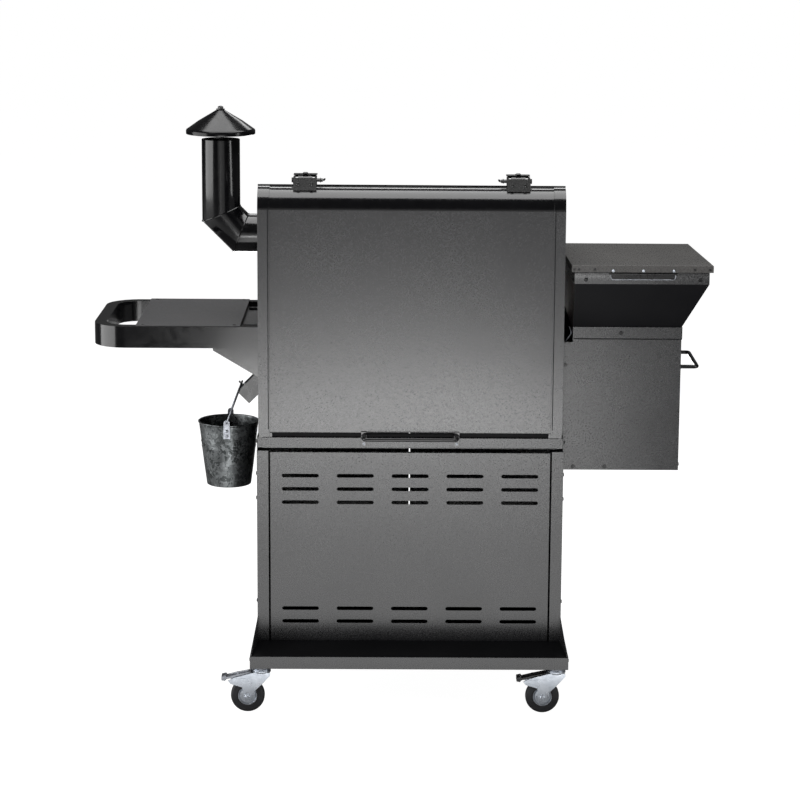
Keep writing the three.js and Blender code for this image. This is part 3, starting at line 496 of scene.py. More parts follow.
for name in ("chamber_shell", "chamber_end_left", "chamber_end_right"):
    second_finish(name, GLOSS, is_rounded_top)
# the tray's upward faces take the darker coat: painted shade on the top of the base tray
second_finish("base_tray", SHADED_TRAY_TOP, lambda normal, centre: normal.z > 0.9)
COLLAR_START = place((0, 0, 957.0)).z
second_finish("hopper_bin", CART, lambda normal, centre: centre.z > COLLAR_START and abs(normal.z) < 0.3)
second_finish("hopper_bin", RAW, lambda normal, centre: normal.x < -0.5 and centre.z < COLLAR_START)


# ------------------------------------------------------------------ chimney
FLUE_Y, FLUE_R, FLUE_WALL = 280.0, 45.0, 2.0
# (x, z) of the stub's start, its two bends and the open top
FLUE_ROUTE = [(-346.0, FLUE_STUB_Z), (-403.7, FLUE_STUB_Z), (FLUE_X, 1104.3), (FLUE_X, 1280.0)]
PIPE_SIDES = 64


def mitre_rings(radius, route):
    """One ring of the pipe at each point of its route, in the plane that halves the bend."""
    points = [Vector((x, FLUE_Y, z)) for x, z in route]
    directions = [(b - a).normalized() for a, b in zip(points, points[1:])]
    rings = []
    for i, p in enumerate(points):
        before, after = directions[max(i - 1, 0)], directions[min(i, len(directions) - 1)]
        normal = (before + after).normalized()
        up = before.cross(Vector((0, 1, 0)))
        ring = []
        for k in range(PIPE_SIDES):
            t = 2 * math.pi * k / PIPE_SIDES
            q = p + Vector((0, 1, 0)) * (radius * math.cos(t)) + up * (radius * math.sin(t))
            ring.append(q - before * ((q - p).dot(normal) / before.dot(normal)))
        rings.append(ring)
    return rings


def lipped(rings, p, height, grow):
    """The last ring again, at height `p` plus `height`, with radius `grow`."""
    centre = Vector((FLUE_ROUTE[-1][0], FLUE_Y, p))
    return [
        centre + Vector((q.x - centre.x, q.y - centre.y, 0)).normalized() * grow + Vector((0, 0, height))
        for q in rings[-1]
    ]


outer = mitre_rings(FLUE_R, FLUE_ROUTE)
inner = mitre_rings(FLUE_R - FLUE_WALL, FLUE_ROUTE)
top = FLUE_ROUTE[-1][1]
rim = [
    lipped(outer, top, -0.6, FLUE_R), lipped(outer, top, 0, FLUE_R - 0.6),
    lipped(outer, top, 0, FLUE_R - FLUE_WALL + 0.5),
]
pipe = Shape().rings(
    outer[:3] + rim + [lipped(inner, top, -0.5, FLUE_R - FLUE_WALL)] + inner[2::-1], loop=True,
)
for index in (1, 2):
    middle = sum(outer[index], Vector()) / PIPE_SIDES
    bead = [
        q + (q - middle).normalized() * (0.35 + 0.25 * math.sin(11 * k))
        for k, q in enumerate(outer[index])
    ]
    pipe.tube(bead + bead[:1], 1.3, 8)
piece("chimney_pipe_tube", pipe, "grill", GLOSS, ["chimney_pipe"])

collar = Shape().turned(
    [
        (FLUE_R + 0.2, 0), (FLUE_R + 9, 0), (FLUE_R + 9, 1.6), (FLUE_R + 1.6, 2.2), (FLUE_R + 1.2, 8),
        (FLUE_R + 0.2, 8), (FLUE_R + 0.2, 0),
    ],
    (-350.2, FLUE_Y, FLUE_STUB_Z), LEFT, 56,
)
for k in range(4):
    t = math.pi / 4 + k * math.pi / 2
    collar.dome((-351.8, FLUE_Y + 50 * math.cos(t), FLUE_STUB_Z + 50 * math.sin(t)), LEFT, 3.4, 2.4, 14)
piece("chimney_collar", collar, "grill", GLOSS)

stem = Shape().box((-494, FLUE_Y - 6, 1228), (-406, FLUE_Y + 6, 1231))
stem.turned(
    [(0.01, 1230), (4, 1230), (4, 1356.6), (3.2, 1357.6), (0.01, 1357.6)], (FLUE_X, FLUE_Y, 0), UP, 20,
)
for k in range(36):
    stem.turned(
        [(4.0, 0), (4.35, 0.7), (4.0, 1.4), (3.6, 0.7), (4.0, 0)], (FLUE_X, FLUE_Y, 1234 + 1.45 * k), UP,
        16,
    )
stem.hex((FLUE_X, FLUE_Y, 1231), UP, 8.4, 6.5)
stem.hex((FLUE_X, FLUE_Y, 1283.2), UP, 8.6, 7.0)
stem.turned([(4.4, 0), (13, 0), (13, 1.6), (4.4, 1.6), (4.4, 0)], (FLUE_X, FLUE_Y, 1281.4), UP, 28)
piece("chimney_stem", stem, "grill", SATIN, edge=0.3)

CAP_R = 81.5
cap = Shape().turned(
    [
        (4.6, 1344.6), (8, 1344), (CAP_R - 5, 1303.3), (CAP_R - 2.4, 1300.2), (CAP_R - 2.0, 1293),
        (CAP_R - 1.2, 1292.1), (CAP_R - 0.3, 1292.6), (CAP_R, 1294.6), (CAP_R, 1300.6),
        (CAP_R - 1.2, 1303.2), (CAP_R - 5, 1305.6), (52, 1323.0), (24, 1339.6), (12, 1347.0),
        (7.5, 1349.6), (5, 1350), (4.6, 1344.6),
    ],
    (FLUE_X, FLUE_Y, 0), UP, 80,
)
piece("chimney_cap_cone", cap, "chimney_cap", CAP_COAT, ["chimney_cap"])
cap_nut = Shape().turned(
    [(4.6, 0), (10.4, 0), (10.4, 1.5), (4.6, 1.5), (4.6, 0)], (FLUE_X, FLUE_Y, 1349.3), UP, 28,
)
cap_nut.turned(
    [(4.5, 0), (7.4, 0), (7.4, 4.6), (6.4, 5.6), (4.5, 5.6), (4.5, 0)], (FLUE_X, FLUE_Y, 1350.8), UP, 6,
)
piece("chimney_cap_nut", cap_nut, "chimney_cap", SATIN)


# ------------------------------------------------------------------ lid
LID_PIN_Y, LID_PIN_Z, LID_HINGE_X = 60.0, 1209.0, 243.0
straps = Shape()
pins = Shape()
for side in (-1, 1):
    x = side * LID_HINGE_X
    straps.box((x - 27, 71, 1219.0), (x + 27, 93, 1221.4))
    straps.box((x - 24, 76, 1214.0), (x + 24, 90, 1219.0))
    straps.dome((x, 78, 1221.2), UP, 7.0, 4.6, 28)
    inward = -side
    ends = (x - 31, x + 40) if side < 0 else (x + 31, x - 40)
    pins.hex((ends[0], LID_PIN_Y, LID_PIN_Z), (inward, 0, 0), 6.2, 5)
    pins.dome((x + inward * 34, LID_PIN_Y, LID_PIN_Z), (inward, 0, 0), 5.6, 2.6, 18)
    loop = [(ends[1] + inward * (0.5 + 3.6 * math.sin(t)), LID_PIN_Y, LID_PIN_Z + 3.6 - 3.6 * math.cos(t))
            for t in (math.radians(d) for d in range(0, 100, 12))]
    pins.tube(loop, 2.4, 12)
    for dx in (-15, 15):
        pins.dome((x + dx, 24.2, 1203), REAR, 4.6, 2.8, 18)
piece("lid_hinge_straps", straps, "lid", IRON, edge=0.8)
piece("lid_hinge_pins", pins, "grill", IRON)

grip = Shape().turned(
    [(0.01, 0), (9.6, 0), (11, 1.4), (11, 428.6), (9.6, 430), (0.01, 430)],
    (-215, LID_HANDLE_Y, LID_HANDLE_Z), RIGHT, 40,
)
piece("lid_handle_grip", grip, "lid", STAINLESS, ["lid_handle"])
stands = Shape()
for side in (-1, 1):
    x = side * 170
    stands.turned(
        [(11.2, -9), (12.6, -8), (12.6, 8), (11.2, 9), (11.2, -9)], (x, LID_HANDLE_Y, LID_HANDLE_Z),
        RIGHT, 36,
    )
    stands.box((x - 8, 522.5, 910), (x + 8, 551, 928))
    stands.turned(
        [(0.01, 0), (17, 0), (17, 1.4), (15, 2.6), (0.01, 2.6)], (x, 520.3, LID_HANDLE_Z), FRONT, 32,
    )
    stands.turned(
        [(11.1, 0), (11.6, 0.8), (11.6, 9), (0.01, 10.4), (0.01, 9), (11.1, 8), (11.1, 0)],
        (side * 206, LID_HANDLE_Y, LID_HANDLE_Z), (side, 0, 0), 36,
    )
piece("lid_handle_stands", stands, "lid", SATIN, edge=0.8)


# ------------------------------------------------------------------ cart
def screws(name, spots, body, material=SATIN, radius=4.6, height=2.6):
    """Pan heads with a round socket recess, at (point, direction) spots."""
    shape = Shape()
    for point, axis in spots:
        steps = [
            (0.01, -0.4), (radius, -0.4), (radius, 0.5), (radius * 0.93, height * 0.6),
            (radius * 0.72, height), (radius * 0.46, height),
        ]
        shape.turned(steps + [(radius * 0.40, height * 0.45), (0.01, height * 0.45)], point, axis, 24)
    piece(name, shape, body, material)


screws("cart_side_screws", [
    ((side * CART_HALF, y, z), LEFT if side < 0 else RIGHT)
    for side in (-1, 1) for y in (14, 506) for z in (230, 476, 534, 610)
], "grill")
screws(
    "chamber_foot_screws",
    [
        ((side * CHAMBER_HALF, y, 624.5), LEFT if side < 0 else RIGHT)
        for side in (-1, 1)
        for y in (21, 499)
    ],
    "grill", radius=3.4, height=2.0,
)
screws(
    "base_screws",
    [
        ((side * BASE_HALF, y, 121), LEFT if side < 0 else RIGHT)
        for side in (-1, 1)
        for y in (-100, 120, 330, 550)
    ],
    "grill",
)

# dark strips along the chamber's rear flange seams: painted shadow of the seams
seam_shade_lines = Shape()
for side in (-1, 1):
    seam_shade_lines.box((side * 326.6 - 0.9, -0.5, 641), (side * 326.6 + 0.9, 0.2, 1148))
piece("chamber_seam_shadow_strips", seam_shade_lines, "grill", SMOOTH_COAT_AND_SHADE, edge=0.2)

gap_strips = Shape()
for low in (8, 510):
    gap_strips.box((-322, low, RAIL_TOP_GAP), (322, low + 2, CHAMBER_FLOOR_GAP))
for low in (-348, 346):
    gap_strips.box((low, 30, RAIL_TOP_GAP), (low + 2, 490, CHAMBER_FLOOR_GAP))
piece("rail_gap_strips", gap_strips, "grill", SMOOTH_COAT_AND_SHADE, edge=0.3)

head_stop = Shape().box((-311, 499.2, 584), (311, 500.6, 599))
piece("door_head_stop", head_stop, "grill", SATIN, edge=0.3)

PULL_X = 106.8
bar = Shape().tube(
    rounded([(-PULL_X, -1, 624), (-PULL_X, -32, 624), (PULL_X, -32, 624), (PULL_X, -1, 624)], 9), 4.5,
    28,
)
for side in (-1, 1):
    bar.box((side * PULL_X - 6.5, -2.6, 602), (side * PULL_X + 6.5, 0.8, 636))
    bar.turned(
        [(0.01, 0), (7.2, 0), (7.2, 2.0), (5.4, 3.4), (0.01, 3.4)], (side * PULL_X, -2.6, 624), REAR, 28,
    )
piece("rear_pull_bar", bar, "grill", GLOSS, ["rear_pull_handle"], edge=0.5)
screws(
    "rear_pull_screws", [((side * PULL_X, -2.6, 608.5), REAR) for side in (-1, 1)], "grill", DULL_ZINC,
    3.6, 2.2,
)

for name, side in (("left", -1), ("right", 1)):
    hinge_x, x = side * DOOR_PIVOT_X, side * 34
    plates, leaf = Shape(), Shape()
    inner, outer = sorted((side * 327.6, side * 346))
    near, far = sorted((side * 322, side * 296))
    for z in (205, 524):
        plates.box((inner, 520.2, z - 24), (outer, 521.6, z + 24))
        for dz in (-16, 16):
            plates.dome((side * 338, 521.6, z + dz), FRONT, 3.2, 1.8, 18)
            leaf.dome((side * 306, 518.6, z + dz), FRONT, 3.2, 1.8, 18)
        leaf.box((near, 517.2, z - 24), (far, 518.6, z + 24))
        for low in (z - 24, z - 8, z + 8.4):
            leaf.turned(
                [(0.01, 0), (2.4, 0), (2.7, 0.4), (2.7, 15.2), (2.4, 15.6), (0.01, 15.6)],
                (hinge_x, DOOR_PIVOT_Y, low), UP, 20,
            )
        leaf.turned(
            [(0.01, -1.6), (1.8, -1.6), (1.8, 49.6), (0.01, 49.6)], (hinge_x, DOOR_PIVOT_Y, z - 24), UP,
            16,
        )
    piece(f"door_hinge_plates_{name}", plates, "grill", SATIN, edge=0.3)
    piece(f"door_hinge_leaves_{name}", leaf, f"door_{name}", SATIN, edge=0.3)
    low, high = sorted((side * 312, side * 334))
    stop = Shape().box((low, 499.2, 142), (high, 500.6, 586))
    low, high = sorted((side * 332.6, side * 334))
    stop.box((low, 500.6, 142), (high, 518.2, 586))
    piece(f"door_stop_{name}", stop, "grill", SATIN, edge=0.3)
    loop = rounded([(x, 517.3, 440), (x, 545.5, 440), (x, 545.5, 560), (x, 517.3, 560)], 10)
    handle = Shape().tube(loop, 5, 28)
    for z in (440, 560):
        handle.turned([(0.01, 0), (8.5, 0), (8.5, 1.2), (6, 2.4), (0.01, 2.4)], (x, 517.1, z), FRONT, 28)
    piece(f"door_bar_{name}", handle, f"door_{name}", STAINLESS, [f"door_handle_{name}"])


# ------------------------------------------------------------------ casters
AXLE_Z, TRAIL = 39.0, 32.0
TYRE_PROFILE = [
    (21.6, -10.5), (27, -11.6), (29, -11.0), (33, -11.4), (36.2, -10.6), (38.2, -8.2), (39, -4.5),
    (39, 4.5), (38.2, 8.2), (36.2, 10.6), (33, 11.4), (29, 11.0), (27, 11.6), (21.6, 10.5),
    (21.6, -10.5),
]
HUB_PROFILE = [
    (4.2, -13.4), (8.0, -13.4), (8.6, -12.6), (8.6, -10.4), (11, -9.4), (17.6, -9.2), (19.2, -11.2),
    (21.4, -11.8), (22, -10.6), (22, 10.6), (21.4, 11.8), (19.2, 11.2), (17.6, 9.2), (11, 9.4),
    (8.6, 10.4), (8.6, 12.6), (8.0, 13.4), (4.2, 13.4), (4.2, -13.4),
]
FORK_LEG = [(-18, 96), (-60, 84.5), (-77, 77), (-71, 69), (-44, 60.5), (-43, 52), (-43, 39)]
for k in range(1, 12):
    t = math.pi + math.pi * k / 12
    FORK_LEG.append((-TRAIL + 11 * math.cos(t), AXLE_Z + 11 * math.sin(t)))
FORK_LEG += [(-21, 39), (-18.5, 49), (1, 68), (20, 89), (20, 96)]
FORK_PRESSING = [(-66, 74.6), (-44, 66.8), (-24, 70), (-24, 82), (-60, 81.6)]
PEDAL = [
    (-24, 91), (-24, 96.6), (-58, 89.5), (-80, 84), (-82, 87.5), (-92, 85), (-92, 76), (-84, 74.5),
    (-80, 79),
]

for corner, side, y, way in (
    ("rear_left", -1, CASTER_REAR_Y, 1), ("rear_right", 1, CASTER_REAR_Y, 1),
    ("front_left", -1, CASTER_FRONT_Y, -1), ("front_right", 1, CASTER_FRONT_Y, 1),
):
    x = side * CASTER_X
    axle = (x - way * TRAIL, y, AXLE_Z)
    piece(
        f"caster_tyre_{corner}", Shape().turned(TYRE_PROFILE, axle, FRONT, 64), f"wheel_{corner}",
        TYRE, [f"caster_wheel_{corner}"],
    )
    hub = Shape().turned(HUB_PROFILE, axle, FRONT, 56)
    for k in range(6):
        t = math.pi / 3 * k
        for face in (-1, 1):
            hub.dome(
                (axle[0] + 14.2 * math.cos(t), y + face * 9.2, AXLE_Z + 14.2 * math.sin(t)),
                (0, face, 0), 1.7, 0.9, 12, neck=0.1,
            )
    piece(f"caster_hub_{corner}", hub, f"wheel_{corner}", ZINC)

    fork = Shape().turned(
        [
            (0.01, 93.2), (17, 93.2), (20.4, 94.2), (21.4, 96.4), (21.0, 99.4), (19.2, 100.4),
            (19.2, 101.4), (20.4, 103.2), (0.01, 103.2),
        ],
        (x, y, 0), UP, 48,
    )
    for face in (-1, 1):
        fork.prism([(x + way * a, y + face * 15.6, b) for a, b in FORK_LEG], (0, face * 2.2, 0))
        fork.prism(
            [(x + way * a, y + face * 15.9, b) for a, b in FORK_PRESSING], (0, face * 2.9, 0),
        )
        fork.turned(
            [(0.01, 0), (8.6, 0), (8.6, 1.0), (0.01, 1.0)], (axle[0], y + face * 17.8, AXLE_Z),
            (0, face, 0), 28,
        )
        fork.hex((axle[0], y + face * 18.8, AXLE_Z), (0, face, 0), 6.4, 3.6)
        fork.turned(
            [(0.01, 0), (3.2, 0), (2.7, 1.6), (0.01, 1.6)], (axle[0], y + face * 22.2, AXLE_Z),
            (0, face, 0), 16,
        )
    fork.turned([(0.01, 0), (3.9, 0), (3.9, 36), (0.01, 36)], (axle[0], y - 18, AXLE_Z), FRONT, 20)
    fork.box((x - 15, y - 17.6, 91.6), (x + 15, y + 17.6, 94.6))
    piece(
        f"caster_fork_plates_{corner}", fork, f"fork_{corner}", ZINC,
        [f"caster_fork_{corner}"], edge=0.45,
    )

    stem = Shape().turned(
        [(0.01, 103.5), (18.4, 103.5), (20.6, 104.2), (22.4, 105.2), (22.4, 106.7), (0.01, 106.7)],
        (x, y, 0), UP, 48,
    )
    stem.turned([(0.01, 106), (4.8, 106), (4.8, 120), (4.2, 121), (0.01, 121)], (x, y, 0), UP, 20)
    stem.hex((x, y, 109.3), UP, 9, 6)
    piece(
        f"caster_race_{corner}", stem, "grill", DULL_ZINC, [f"caster_stem_{corner}"],
        edge=0.3,
    )

    if y < 0:
        metal = DULL_ZINC if side < 0 else SATIN
        pedal = Shape().prism([(x + a, y - 13, b) for a, b in PEDAL], (0, 26, 0))
        for k in range(4):
            pedal.box(
                (x - 91.6 + 2.6 * k, y - 12, 84.4 - 0.2 * k),
                (x - 90.4 + 2.6 * k, y + 12, 86.4 + 0.4 * k),
            )
        pedal.tube([(x - 30, y, 95.6), (x - 56, y, 90.4), (x - 74, y, 86.2)], 2.6, 14)
        pedal.dome((x - 55, y - 7.5, 90.0), (-0.2, 0, 1), 3.2, 1.8, 16)
        pedal.dome((x - 55, y + 7.5, 90.0), (-0.2, 0, 1), 3.2, 1.8, 16)
        piece(
            f"caster_brake_{corner}", pedal, f"brake_{corner}", metal,
            [f"brake_pedal_{corner}"], edge=0.6,
        )


# ------------------------------------------------------------------ side shelf
ledge = Shape()
for y in (166, 412):
    ledge.box((-393.5, y, 850.4), (-352, y + 7, 857))
piece("shelf_ledge_bars", ledge, "grill", SATIN, edge=0.8)
screws(
    "shelf_screws", [((x, y, 865.3), UP) for x in (-622, -410) for y in (104, 474)], "grill", SATIN,
    4.2, 1.6,
)
screws(
    "shelf_wall_screws", [((-352.3, y, z), LEFT) for y in (140, 438) for z in (772, 798)], "grill",
    SATIN, 4.6, 2.6,
)


# ------------------------------------------------------------------ grease bucket
TILT = math.radians(20.8)
EAR = Vector((HOOK_X - BAIL_HEIGHT * math.sin(TILT), HOOK_Y, HOOK_Z - BAIL_HEIGHT * math.cos(TILT)))
pail = Shape().turned(
    [
        (0.01, -157), (50.2, -157), (52.0, -155), (57.0, -118), (62.6, -71), (63.9, -67.5), (63.3, -64),
        (64.0, -60.5), (65.0, -57), (64.4, -53), (69.4, -12), (69.6, -8), (70.6, -6.9), (72.0, -6.6),
        (73.1, -7.6), (73.2, -9.4), (72.2, -11.2), (71.0, -11.8), (70.8, -14), (66.1, -51), (66.6, -56),
        (65.6, -60.5), (65.0, -64), (65.4, -68), (64.2, -72.5), (58.6, -118), (53.4, -157.6),
        (52.8, -161), (51.2, -162), (50.0, -161), (49.6, -159.2), (0.01, -159),
    ],
    EAR, UP, 80,
)
piece("bucket_pail", pail, "bucket", BUCKET, ["grease_bucket"])
ears = Shape()
EAR_OUT, EAR_BEND, EAR_LEAN = 74.2, -12, 0.118


def ear_out(height):
    """How far out an ear stands: upright above its bend, and along the pail's wall below it."""
    return EAR_OUT + min(height - EAR_BEND, 0) * EAR_LEAN


for side in (-1, 1):
    outline = [(-8.5, -37), (-7.5, -39), (7.5, -39), (8.5, -37), (7.2, -4)]
    outline += [(7.2 * math.cos(t), 7.2 * math.sin(t)) for t in (math.pi * k / 12 for k in range(13))][1:]
    ears.prism([EAR + Vector((a, side * ear_out(b), b)) for a, b in outline], (0, side * 1.3, 0))
    for z in (-20, -31):
        ears.dome(EAR + Vector((0, side * (ear_out(z) + 1.2), z)), (0, side, -EAR_LEAN), 3.8, 2.2, 20)
    ears.turned(
        [(3.0, -0.4), (4.8, -0.4), (4.8, 0.8), (3.0, 0.8), (3.0, -0.4)],
        EAR + Vector((0, side * 75.2, 0)), (0, side, 0), 24,
    )
piece("bucket_ears", ears, "bucket", DULL_ZINC, edge=0.3)

lean_back = Matrix.Rotation(TILT, 4, "Y")
hook = Vector((HOOK_X, HOOK_Y, HOOK_Z))
wire = [Vector((0, 70, 0)), Vector((0, 76.5, 0)), Vector((0, 80, 1.4)), Vector((0, 82, 5))]
for k in range(1, 24):
    t = math.pi * k / 24
    wire.append(Vector((0, 82 * math.cos(t), 5 + 88 * math.sin(t))))
wire += [Vector((0, -82, 5)), Vector((0, -80, 1.4)), Vector((0, -76.5, 0)), Vector((0, -70, 0))]
bail = Shape().tube([hook + lean_back @ (p - Vector((0, 0, BAIL_HEIGHT))) for p in wire], 2.0, 16)
piece("bucket_bail_wire", bail, "bail", DULL_ZINC, ["bucket_bail"])


# ------------------------------------------------------------------ hopper
HINGE_Y, HINGE_Z = 1.7, 1006.5
leaf = Shape().prism(
    rounded([(455, 2.9, 1004), (455, 2.9, 993.6), (601, 2.9, 993.6), (601, 2.9, 1004)], 7),
    (0, 1.8, 0),
)
leaf.tube(
    rounded([(454, 2.6, 1003), (454, 2.6, 992.8), (602, 2.6, 992.8), (602, 2.6, 1003)], 7), 1.1, 12, 1,
)
for k in range(0, 9, 2):
    leaf.turned(
        [(0.01, 0), (2.9, 0), (2.9, 16.2), (0.01, 16.2)], (452 + 17 * k, HINGE_Y, HINGE_Z), RIGHT, 18,
    )
leaf.turned([(0.01, -2), (1.4, -2), (1.4, 154), (0.01, 154)], (452, HINGE_Y, HINGE_Z), RIGHT, 14)
piece("hopper_hinge_leaf", leaf, "grill", [SATIN, DULL_ZINC], ["hopper_lid_hinge"], edge=0.3)
swing = Shape()
for k in (1, 3, 5, 7):
    swing.turned(
        [(0.01, 0), (2.9, 0), (2.9, 15.8), (0.01, 15.8)], (452.2 + 17 * k, HINGE_Y, HINGE_Z), RIGHT, 18,
    )
piece("hopper_hinge_knuckles", swing, "hopper_lid", SATIN)
screws(
    "hopper_hinge_screws", [((x, -3, 1013.4), REAR) for x in (459, 528, 597)], "hopper_lid", ZINC,
    3.6, 2.2,
)
screws(
    "hopper_lid_rivets", [((x, -3, 1017), REAR) for x in (371, 381, 417, 645, 680)], "hopper_lid", SATIN,
    3.0, 1.6,
)
screws(
    "hopper_collar_screws",
    [((x, 5, 992), REAR) for x in (398, 659)] + [((680, y, 985), RIGHT) for y in (60, 260, 470)],
    "grill",
)
screws(
    "hopper_box_screws",
    [
        ((358, BOX_NEAR, 783), REAR), ((357, BOX_NEAR, 599), REAR), ((380, BOX_NEAR, 541), REAR),
        ((454, BOX_NEAR, 541), REAR), ((486, 68.4, 858), REAR), ((BOX_RIGHT, 84, 858), RIGHT),
        ((BOX_RIGHT, 452, 858), RIGHT), ((BOX_RIGHT, 84, 545), RIGHT), ((BOX_RIGHT, 452, 545), RIGHT),
        ((360, BOX_FAR, 545), FRONT), ((616, BOX_FAR, 545), FRONT), ((616, BOX_FAR, 860), FRONT),
        ((372, BOX_FAR, 825), FRONT),
    ],
    "grill",
)

skirt = Shape()
skirt.box((376.5, 68.4, 845), (BOX_RIGHT, 69.9, 872))
skirt.box((376.5, 465.1, 845), (BOX_RIGHT, 466.6, 872))
skirt.box((626.6, 68.4, 845), (628.1, 466.6, 872))
piece("hopper_skirt", skirt, "grill", CART, edge=0.5)
# a dark strip under the hopper skirt's lower edge: painted shadow of the skirt
skirt_shade_line = Shape().box((376.5, 69.0, 842.6), (BOX_RIGHT, 69.9, 844.8))
skirt_shade_line.box((376.5, 465.1, 842.6), (BOX_RIGHT, 466.0, 844.8))
skirt_shade_line.box((626.6, 69.0, 842.6), (627.5, 466.0, 844.8))
piece("hopper_skirt_shadow_strip", skirt_shade_line, "grill", SMOOTH_COAT_AND_SHADE, edge=0.3)

side_bar = Shape().tube(
    rounded([(627, 100, 774), (668.5, 100, 774), (668.5, 290, 774), (627, 290, 774)], 11), 4.5, 28,
)
for y in (100, 290):
    side_bar.turned([(0.01, 0), (9, 0), (9, 1.4), (6.4, 3.2), (0.01, 3.2)], (626.6, y, 774), RIGHT, 28)
piece("hopper_side_bar", side_bar, "grill", SATIN, ["hopper_side_handle"])

clip = Shape().tube(
    rounded([(366, 74, 872), (371, 66.5, 858), (363, 66.5, 846), (359, 76, 838)], 6), 1.1, 10,
)
piece("notch_cable_clip", clip, "grill", DULL_ZINC)


# ------------------------------------------------------------------ controls
FACE = 469.3
panel = Shape()
panel.box((476, FACE - 0.6, 783), (584, FACE + 1.6, 838), 0)
panel.box((480, FACE + 0.2, 787), (580, FACE + 2.0, 834), 1)
panel.turned(
    [(21.5, 0), (27, 0), (27, 0.9), (25.5, 1.5), (22.5, 1.5), (21.5, 0.9), (21.5, 0)],
    (KNOB_X, FACE, KNOB_Z), FRONT, 56, 0,
)
for k in range(11):
    t = math.radians(240 - 30 * k)
    radial, across = Vector((math.cos(t), 0, math.sin(t))), Vector((math.sin(t), 0, -math.cos(t)))
    centre, long = Vector((KNOB_X, FACE - 0.1, KNOB_Z)), 5.0 if k % 5 == 0 else 3.2
    corners = [
        centre + radial * r + across * w
        for r, w in ((29, -0.5), (29 + long, -0.5), (29 + long, 0.5), (29, 0.5))
    ]
    panel.prism(corners, (0, 0.5, 0), 2)
panel.turned(
    [(8.6, 0), (11.5, 0), (11.5, 1.2), (10.6, 2.0), (9.2, 2.0), (8.6, 1.2), (8.6, 0)],
    (BUTTON_X, FACE, BUTTON_Z), FRONT, 44, 0,
)
for x in (490, 510, 530):
    panel.turned([(0.01, 0), (5.4, 0), (5.4, 1.2), (4.4, 2.0), (0.01, 2.0)], (x, FACE, 766), FRONT, 32, 0)
piece("control_face", panel, "grill", [PLASTIC, SCREEN, WHITE_MARK], edge=0.3)
screws(
    "control_screws", [((x, FACE, z), FRONT) for x in (398, 590) for z in (752, 842)], "grill",
    DULL_ZINC, 3.2, 1.6,
)

knob = Shape().turned(
    [
        (0.01, -12), (3.9, -12), (3.9, 0.5), (19.4, 0.5), (20, 1.4), (19.8, 5), (17.4, 6.4),
        (16.9, 18.8), (15.9, 20), (0.01, 20),
    ],
    (KNOB_X, FACE, KNOB_Z), FRONT, 56, 0,
)
for k in range(24):
    t = 2 * math.pi * k / 24
    spot = Vector((KNOB_X + 17.0 * math.cos(t), FACE, KNOB_Z + 17.0 * math.sin(t)))
    knob.tube([spot + Vector((0, 7, 0)), spot + Vector((0, 18.4, 0))], 0.9, 8)
knob.box((KNOB_X - 1, FACE + 19.6, KNOB_Z + 3), (KNOB_X + 1, FACE + 20.4, KNOB_Z + 15), 1)
piece("control_knob_cap", knob, "knob", [PLASTIC, WHITE_MARK], ["control_knob"])

button = Shape().turned(
    [(0.01, -9), (7.8, -9), (7.8, 2.6), (7.0, 3.8), (5.2, 3.4), (0.01, 3.2)], (BUTTON_X, FACE, BUTTON_Z),
    FRONT, 44, 0,
)
button.turned(
    [(2.6, 0), (3.3, 0), (3.3, 0.5), (2.6, 0.5), (2.6, 0)], (BUTTON_X, FACE + 3.2, BUTTON_Z), FRONT, 28,
    1,
)
piece("power_button_cap", button, "button", [PLASTIC, WHITE_MARK], ["power_button"])

socket = Shape()
for y, z in ((403, 578), (417, 578), (410, 571)):
    socket.box((629.0, y - 1, z - 2.6), (630.4, y + 1, z + 2.6))
socket.prism(
    [(629.1, y, z) for y, z in ((398, 566), (422, 566), (422, 582), (418, 586), (402, 586), (398, 582))],
    (0.7, 0, 0),
)
piece("power_inlet_face", socket, "grill", [PLASTIC], edge=0.2)
screws(
    "power_inlet_screws", [((629.1, y, 575), RIGHT) for y in (394.4, 425.6)], "grill", DULL_ZINC,
    2.2, 1.2,
)


# ------------------------------------------------------------------ camera, lights and floor
def radiant_lamp(name, radiance, size, at, aim):
    """A soft box of a given brightness; the camera doesn't see it."""
    data = bpy.data.lights.new(name, "AREA")
    data.shape = "RECTANGLE"
    data.size, data.size_y = size
    data.energy = radiance * math.pi * size[0] * size[1]
    obj = bpy.data.objects.new(name, data)
    obj.location = at
    obj.rotation_euler = (Vector(aim) - Vector(at)).to_track_quat("-Z", "Y").to_euler()
    obj.visible_camera = False
    bpy.context.scene.collection.objects.link(obj)


def floor():
    """A pale floor that the camera sees as plain white."""
    mesh = bpy.data.meshes.new("floor")
    size = 40
    mesh.from_pydata(
        [(-size, -size, 0), (size, -size, 0), (size, size, 0), (-size, size, 0)], [], [(0, 1, 2, 3)],
    )
    obj = bpy.data.objects.new("floor", mesh)
    bpy.context.scene.collection.objects.link(obj)
    n = Nodes("floor_paint")
    n.color(n.tint(n.noise(0.8, 2.0), (0.28, 0.28, 0.28), (0.30, 0.30, 0.30)))
    n.set(Roughness=0.9)
    n.shader.inputs["Emission Color"].default_value = (1, 1, 1, 1)
    seen = n.math("MULTIPLY", n.add("ShaderNodeLightPath").outputs["Is Camera Ray"], 0.98)
    n.link(seen, n.shader.inputs["Emission Strength"])
    mesh.materials.append(n.material)


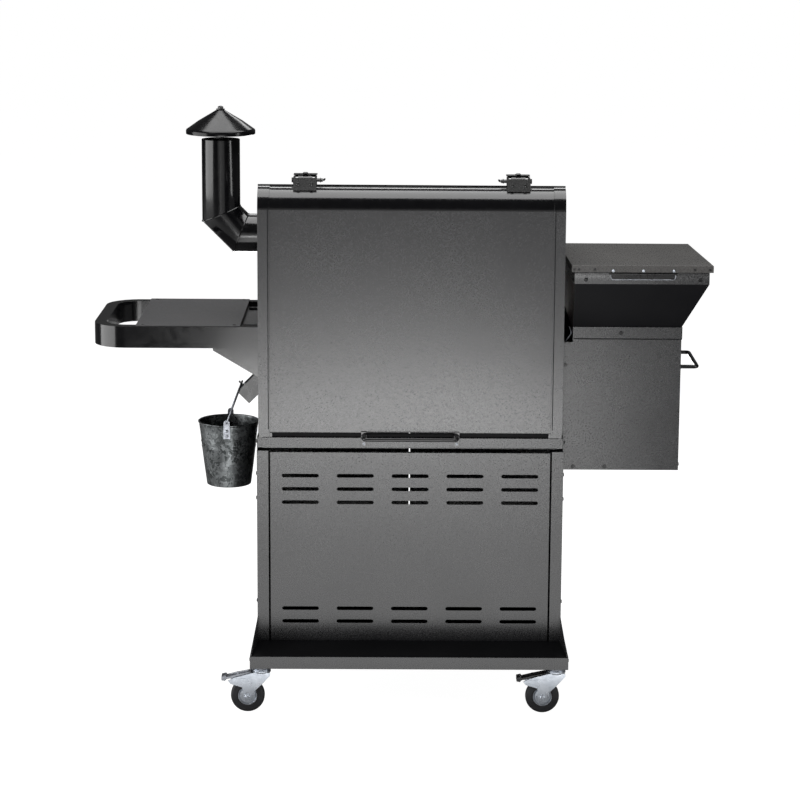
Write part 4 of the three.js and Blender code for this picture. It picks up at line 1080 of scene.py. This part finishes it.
CAMERA_PITCH, CAMERA_ROLL, CAMERA_TURN = 11.3, 0.47, -0.8    # degrees
CAMERA_PLACE = (0.0022, -6.078, 1.880)
LENS = 117.0
camera_data = bpy.data.cameras.new("camera")
camera_data.lens = LENS
camera_data.sensor_width = 36.0
camera_data.clip_end = 200
camera = bpy.data.objects.new("camera", camera_data)
camera_data.shift_x = -0.0448
camera_data.shift_y = 0.0005
camera.matrix_world = (
    Matrix.Translation(CAMERA_PLACE)
    @ Matrix.Rotation(math.radians(CAMERA_TURN), 4, "Z")
    @ Matrix.Rotation(math.radians(90 - CAMERA_PITCH), 4, "X")
    @ Matrix.Rotation(math.radians(CAMERA_ROLL), 4, "Z")
)
bpy.context.scene.collection.objects.link(camera)
bpy.context.scene.camera = camera

# the background is white to the camera, and only a faint fill to everything else
world = bpy.data.worlds.new("studio")
bpy.context.scene.world = world
world.use_nodes = True
tree = world.node_tree
backdrop = tree.nodes["Background"]
backdrop.inputs["Color"].default_value = (1, 1, 1, 1)
seen_directly = tree.nodes.new("ShaderNodeLightPath").outputs["Is Camera Ray"]
strength = tree.nodes.new("ShaderNodeMapRange")
FILL, BACKDROP = 0.06, 1.0
strength.inputs["To Min"].default_value = FILL
strength.inputs["To Max"].default_value = BACKDROP
tree.links.new(seen_directly, strength.inputs["Value"])
tree.links.new(strength.outputs["Result"], backdrop.inputs["Strength"])

floor()
LAMPS = (
    # name, brightness, size, place, what it faces; metres
    ("overhead", 4.2, (3.4, 2.7), (0.03, -0.12, 3.6), (0.03, -0.12, 0.0)),
    ("left_box", 3.3, (3.0, 2.0), (-3.0, -0.95, 1.05), (0.0, -0.6, 0.95)),
    ("right_strip", 3.6, (0.45, 2.0), (2.1, -1.25, 1.05), (-0.4, 0.0, 1.05)),
    ("back_wall", 0.45, (5.6, 2.2), (0.3, -8.0, 0.4), (0.3, 0.0, 0.8)),
    ("key_left", 1.5, (1.5, 1.0), (-2.0, -3.2, 3.3), (0, 0, 0.7)),
    ("key_right", 1.5, (1.5, 1.0), (2.2, -3.2, 3.3), (0, 0, 0.7)),
    ("floor_glow", 7.0, (1.5, 1.6), (-0.05, -3.4, 0.02), (-0.05, -3.4, 5.0)),
    ("mid_floor_glow", 1.8, (1.5, 4.6), (-0.05, -6.2, 0.02), (-0.05, -6.2, 5.0)),
    ("near_floor_glow", 1.6, (1.5, 2.0), (-0.05, -1.55, 0.02), (-0.05, -1.55, 5.0)),
    ("far_floor_glow", 8.0, (2.0, 2.0), (0.0, 3.2, 0.02), (0.0, 3.2, 5.0)),
    ("far_key", 3.2, (2.4, 1.0), (0.0, 4.2, 3.6), (0, 0, 0.7)),
)
for row in LAMPS:
    radiant_lamp(*row)

bpy.context.scene.view_settings.view_transform = "Standard"
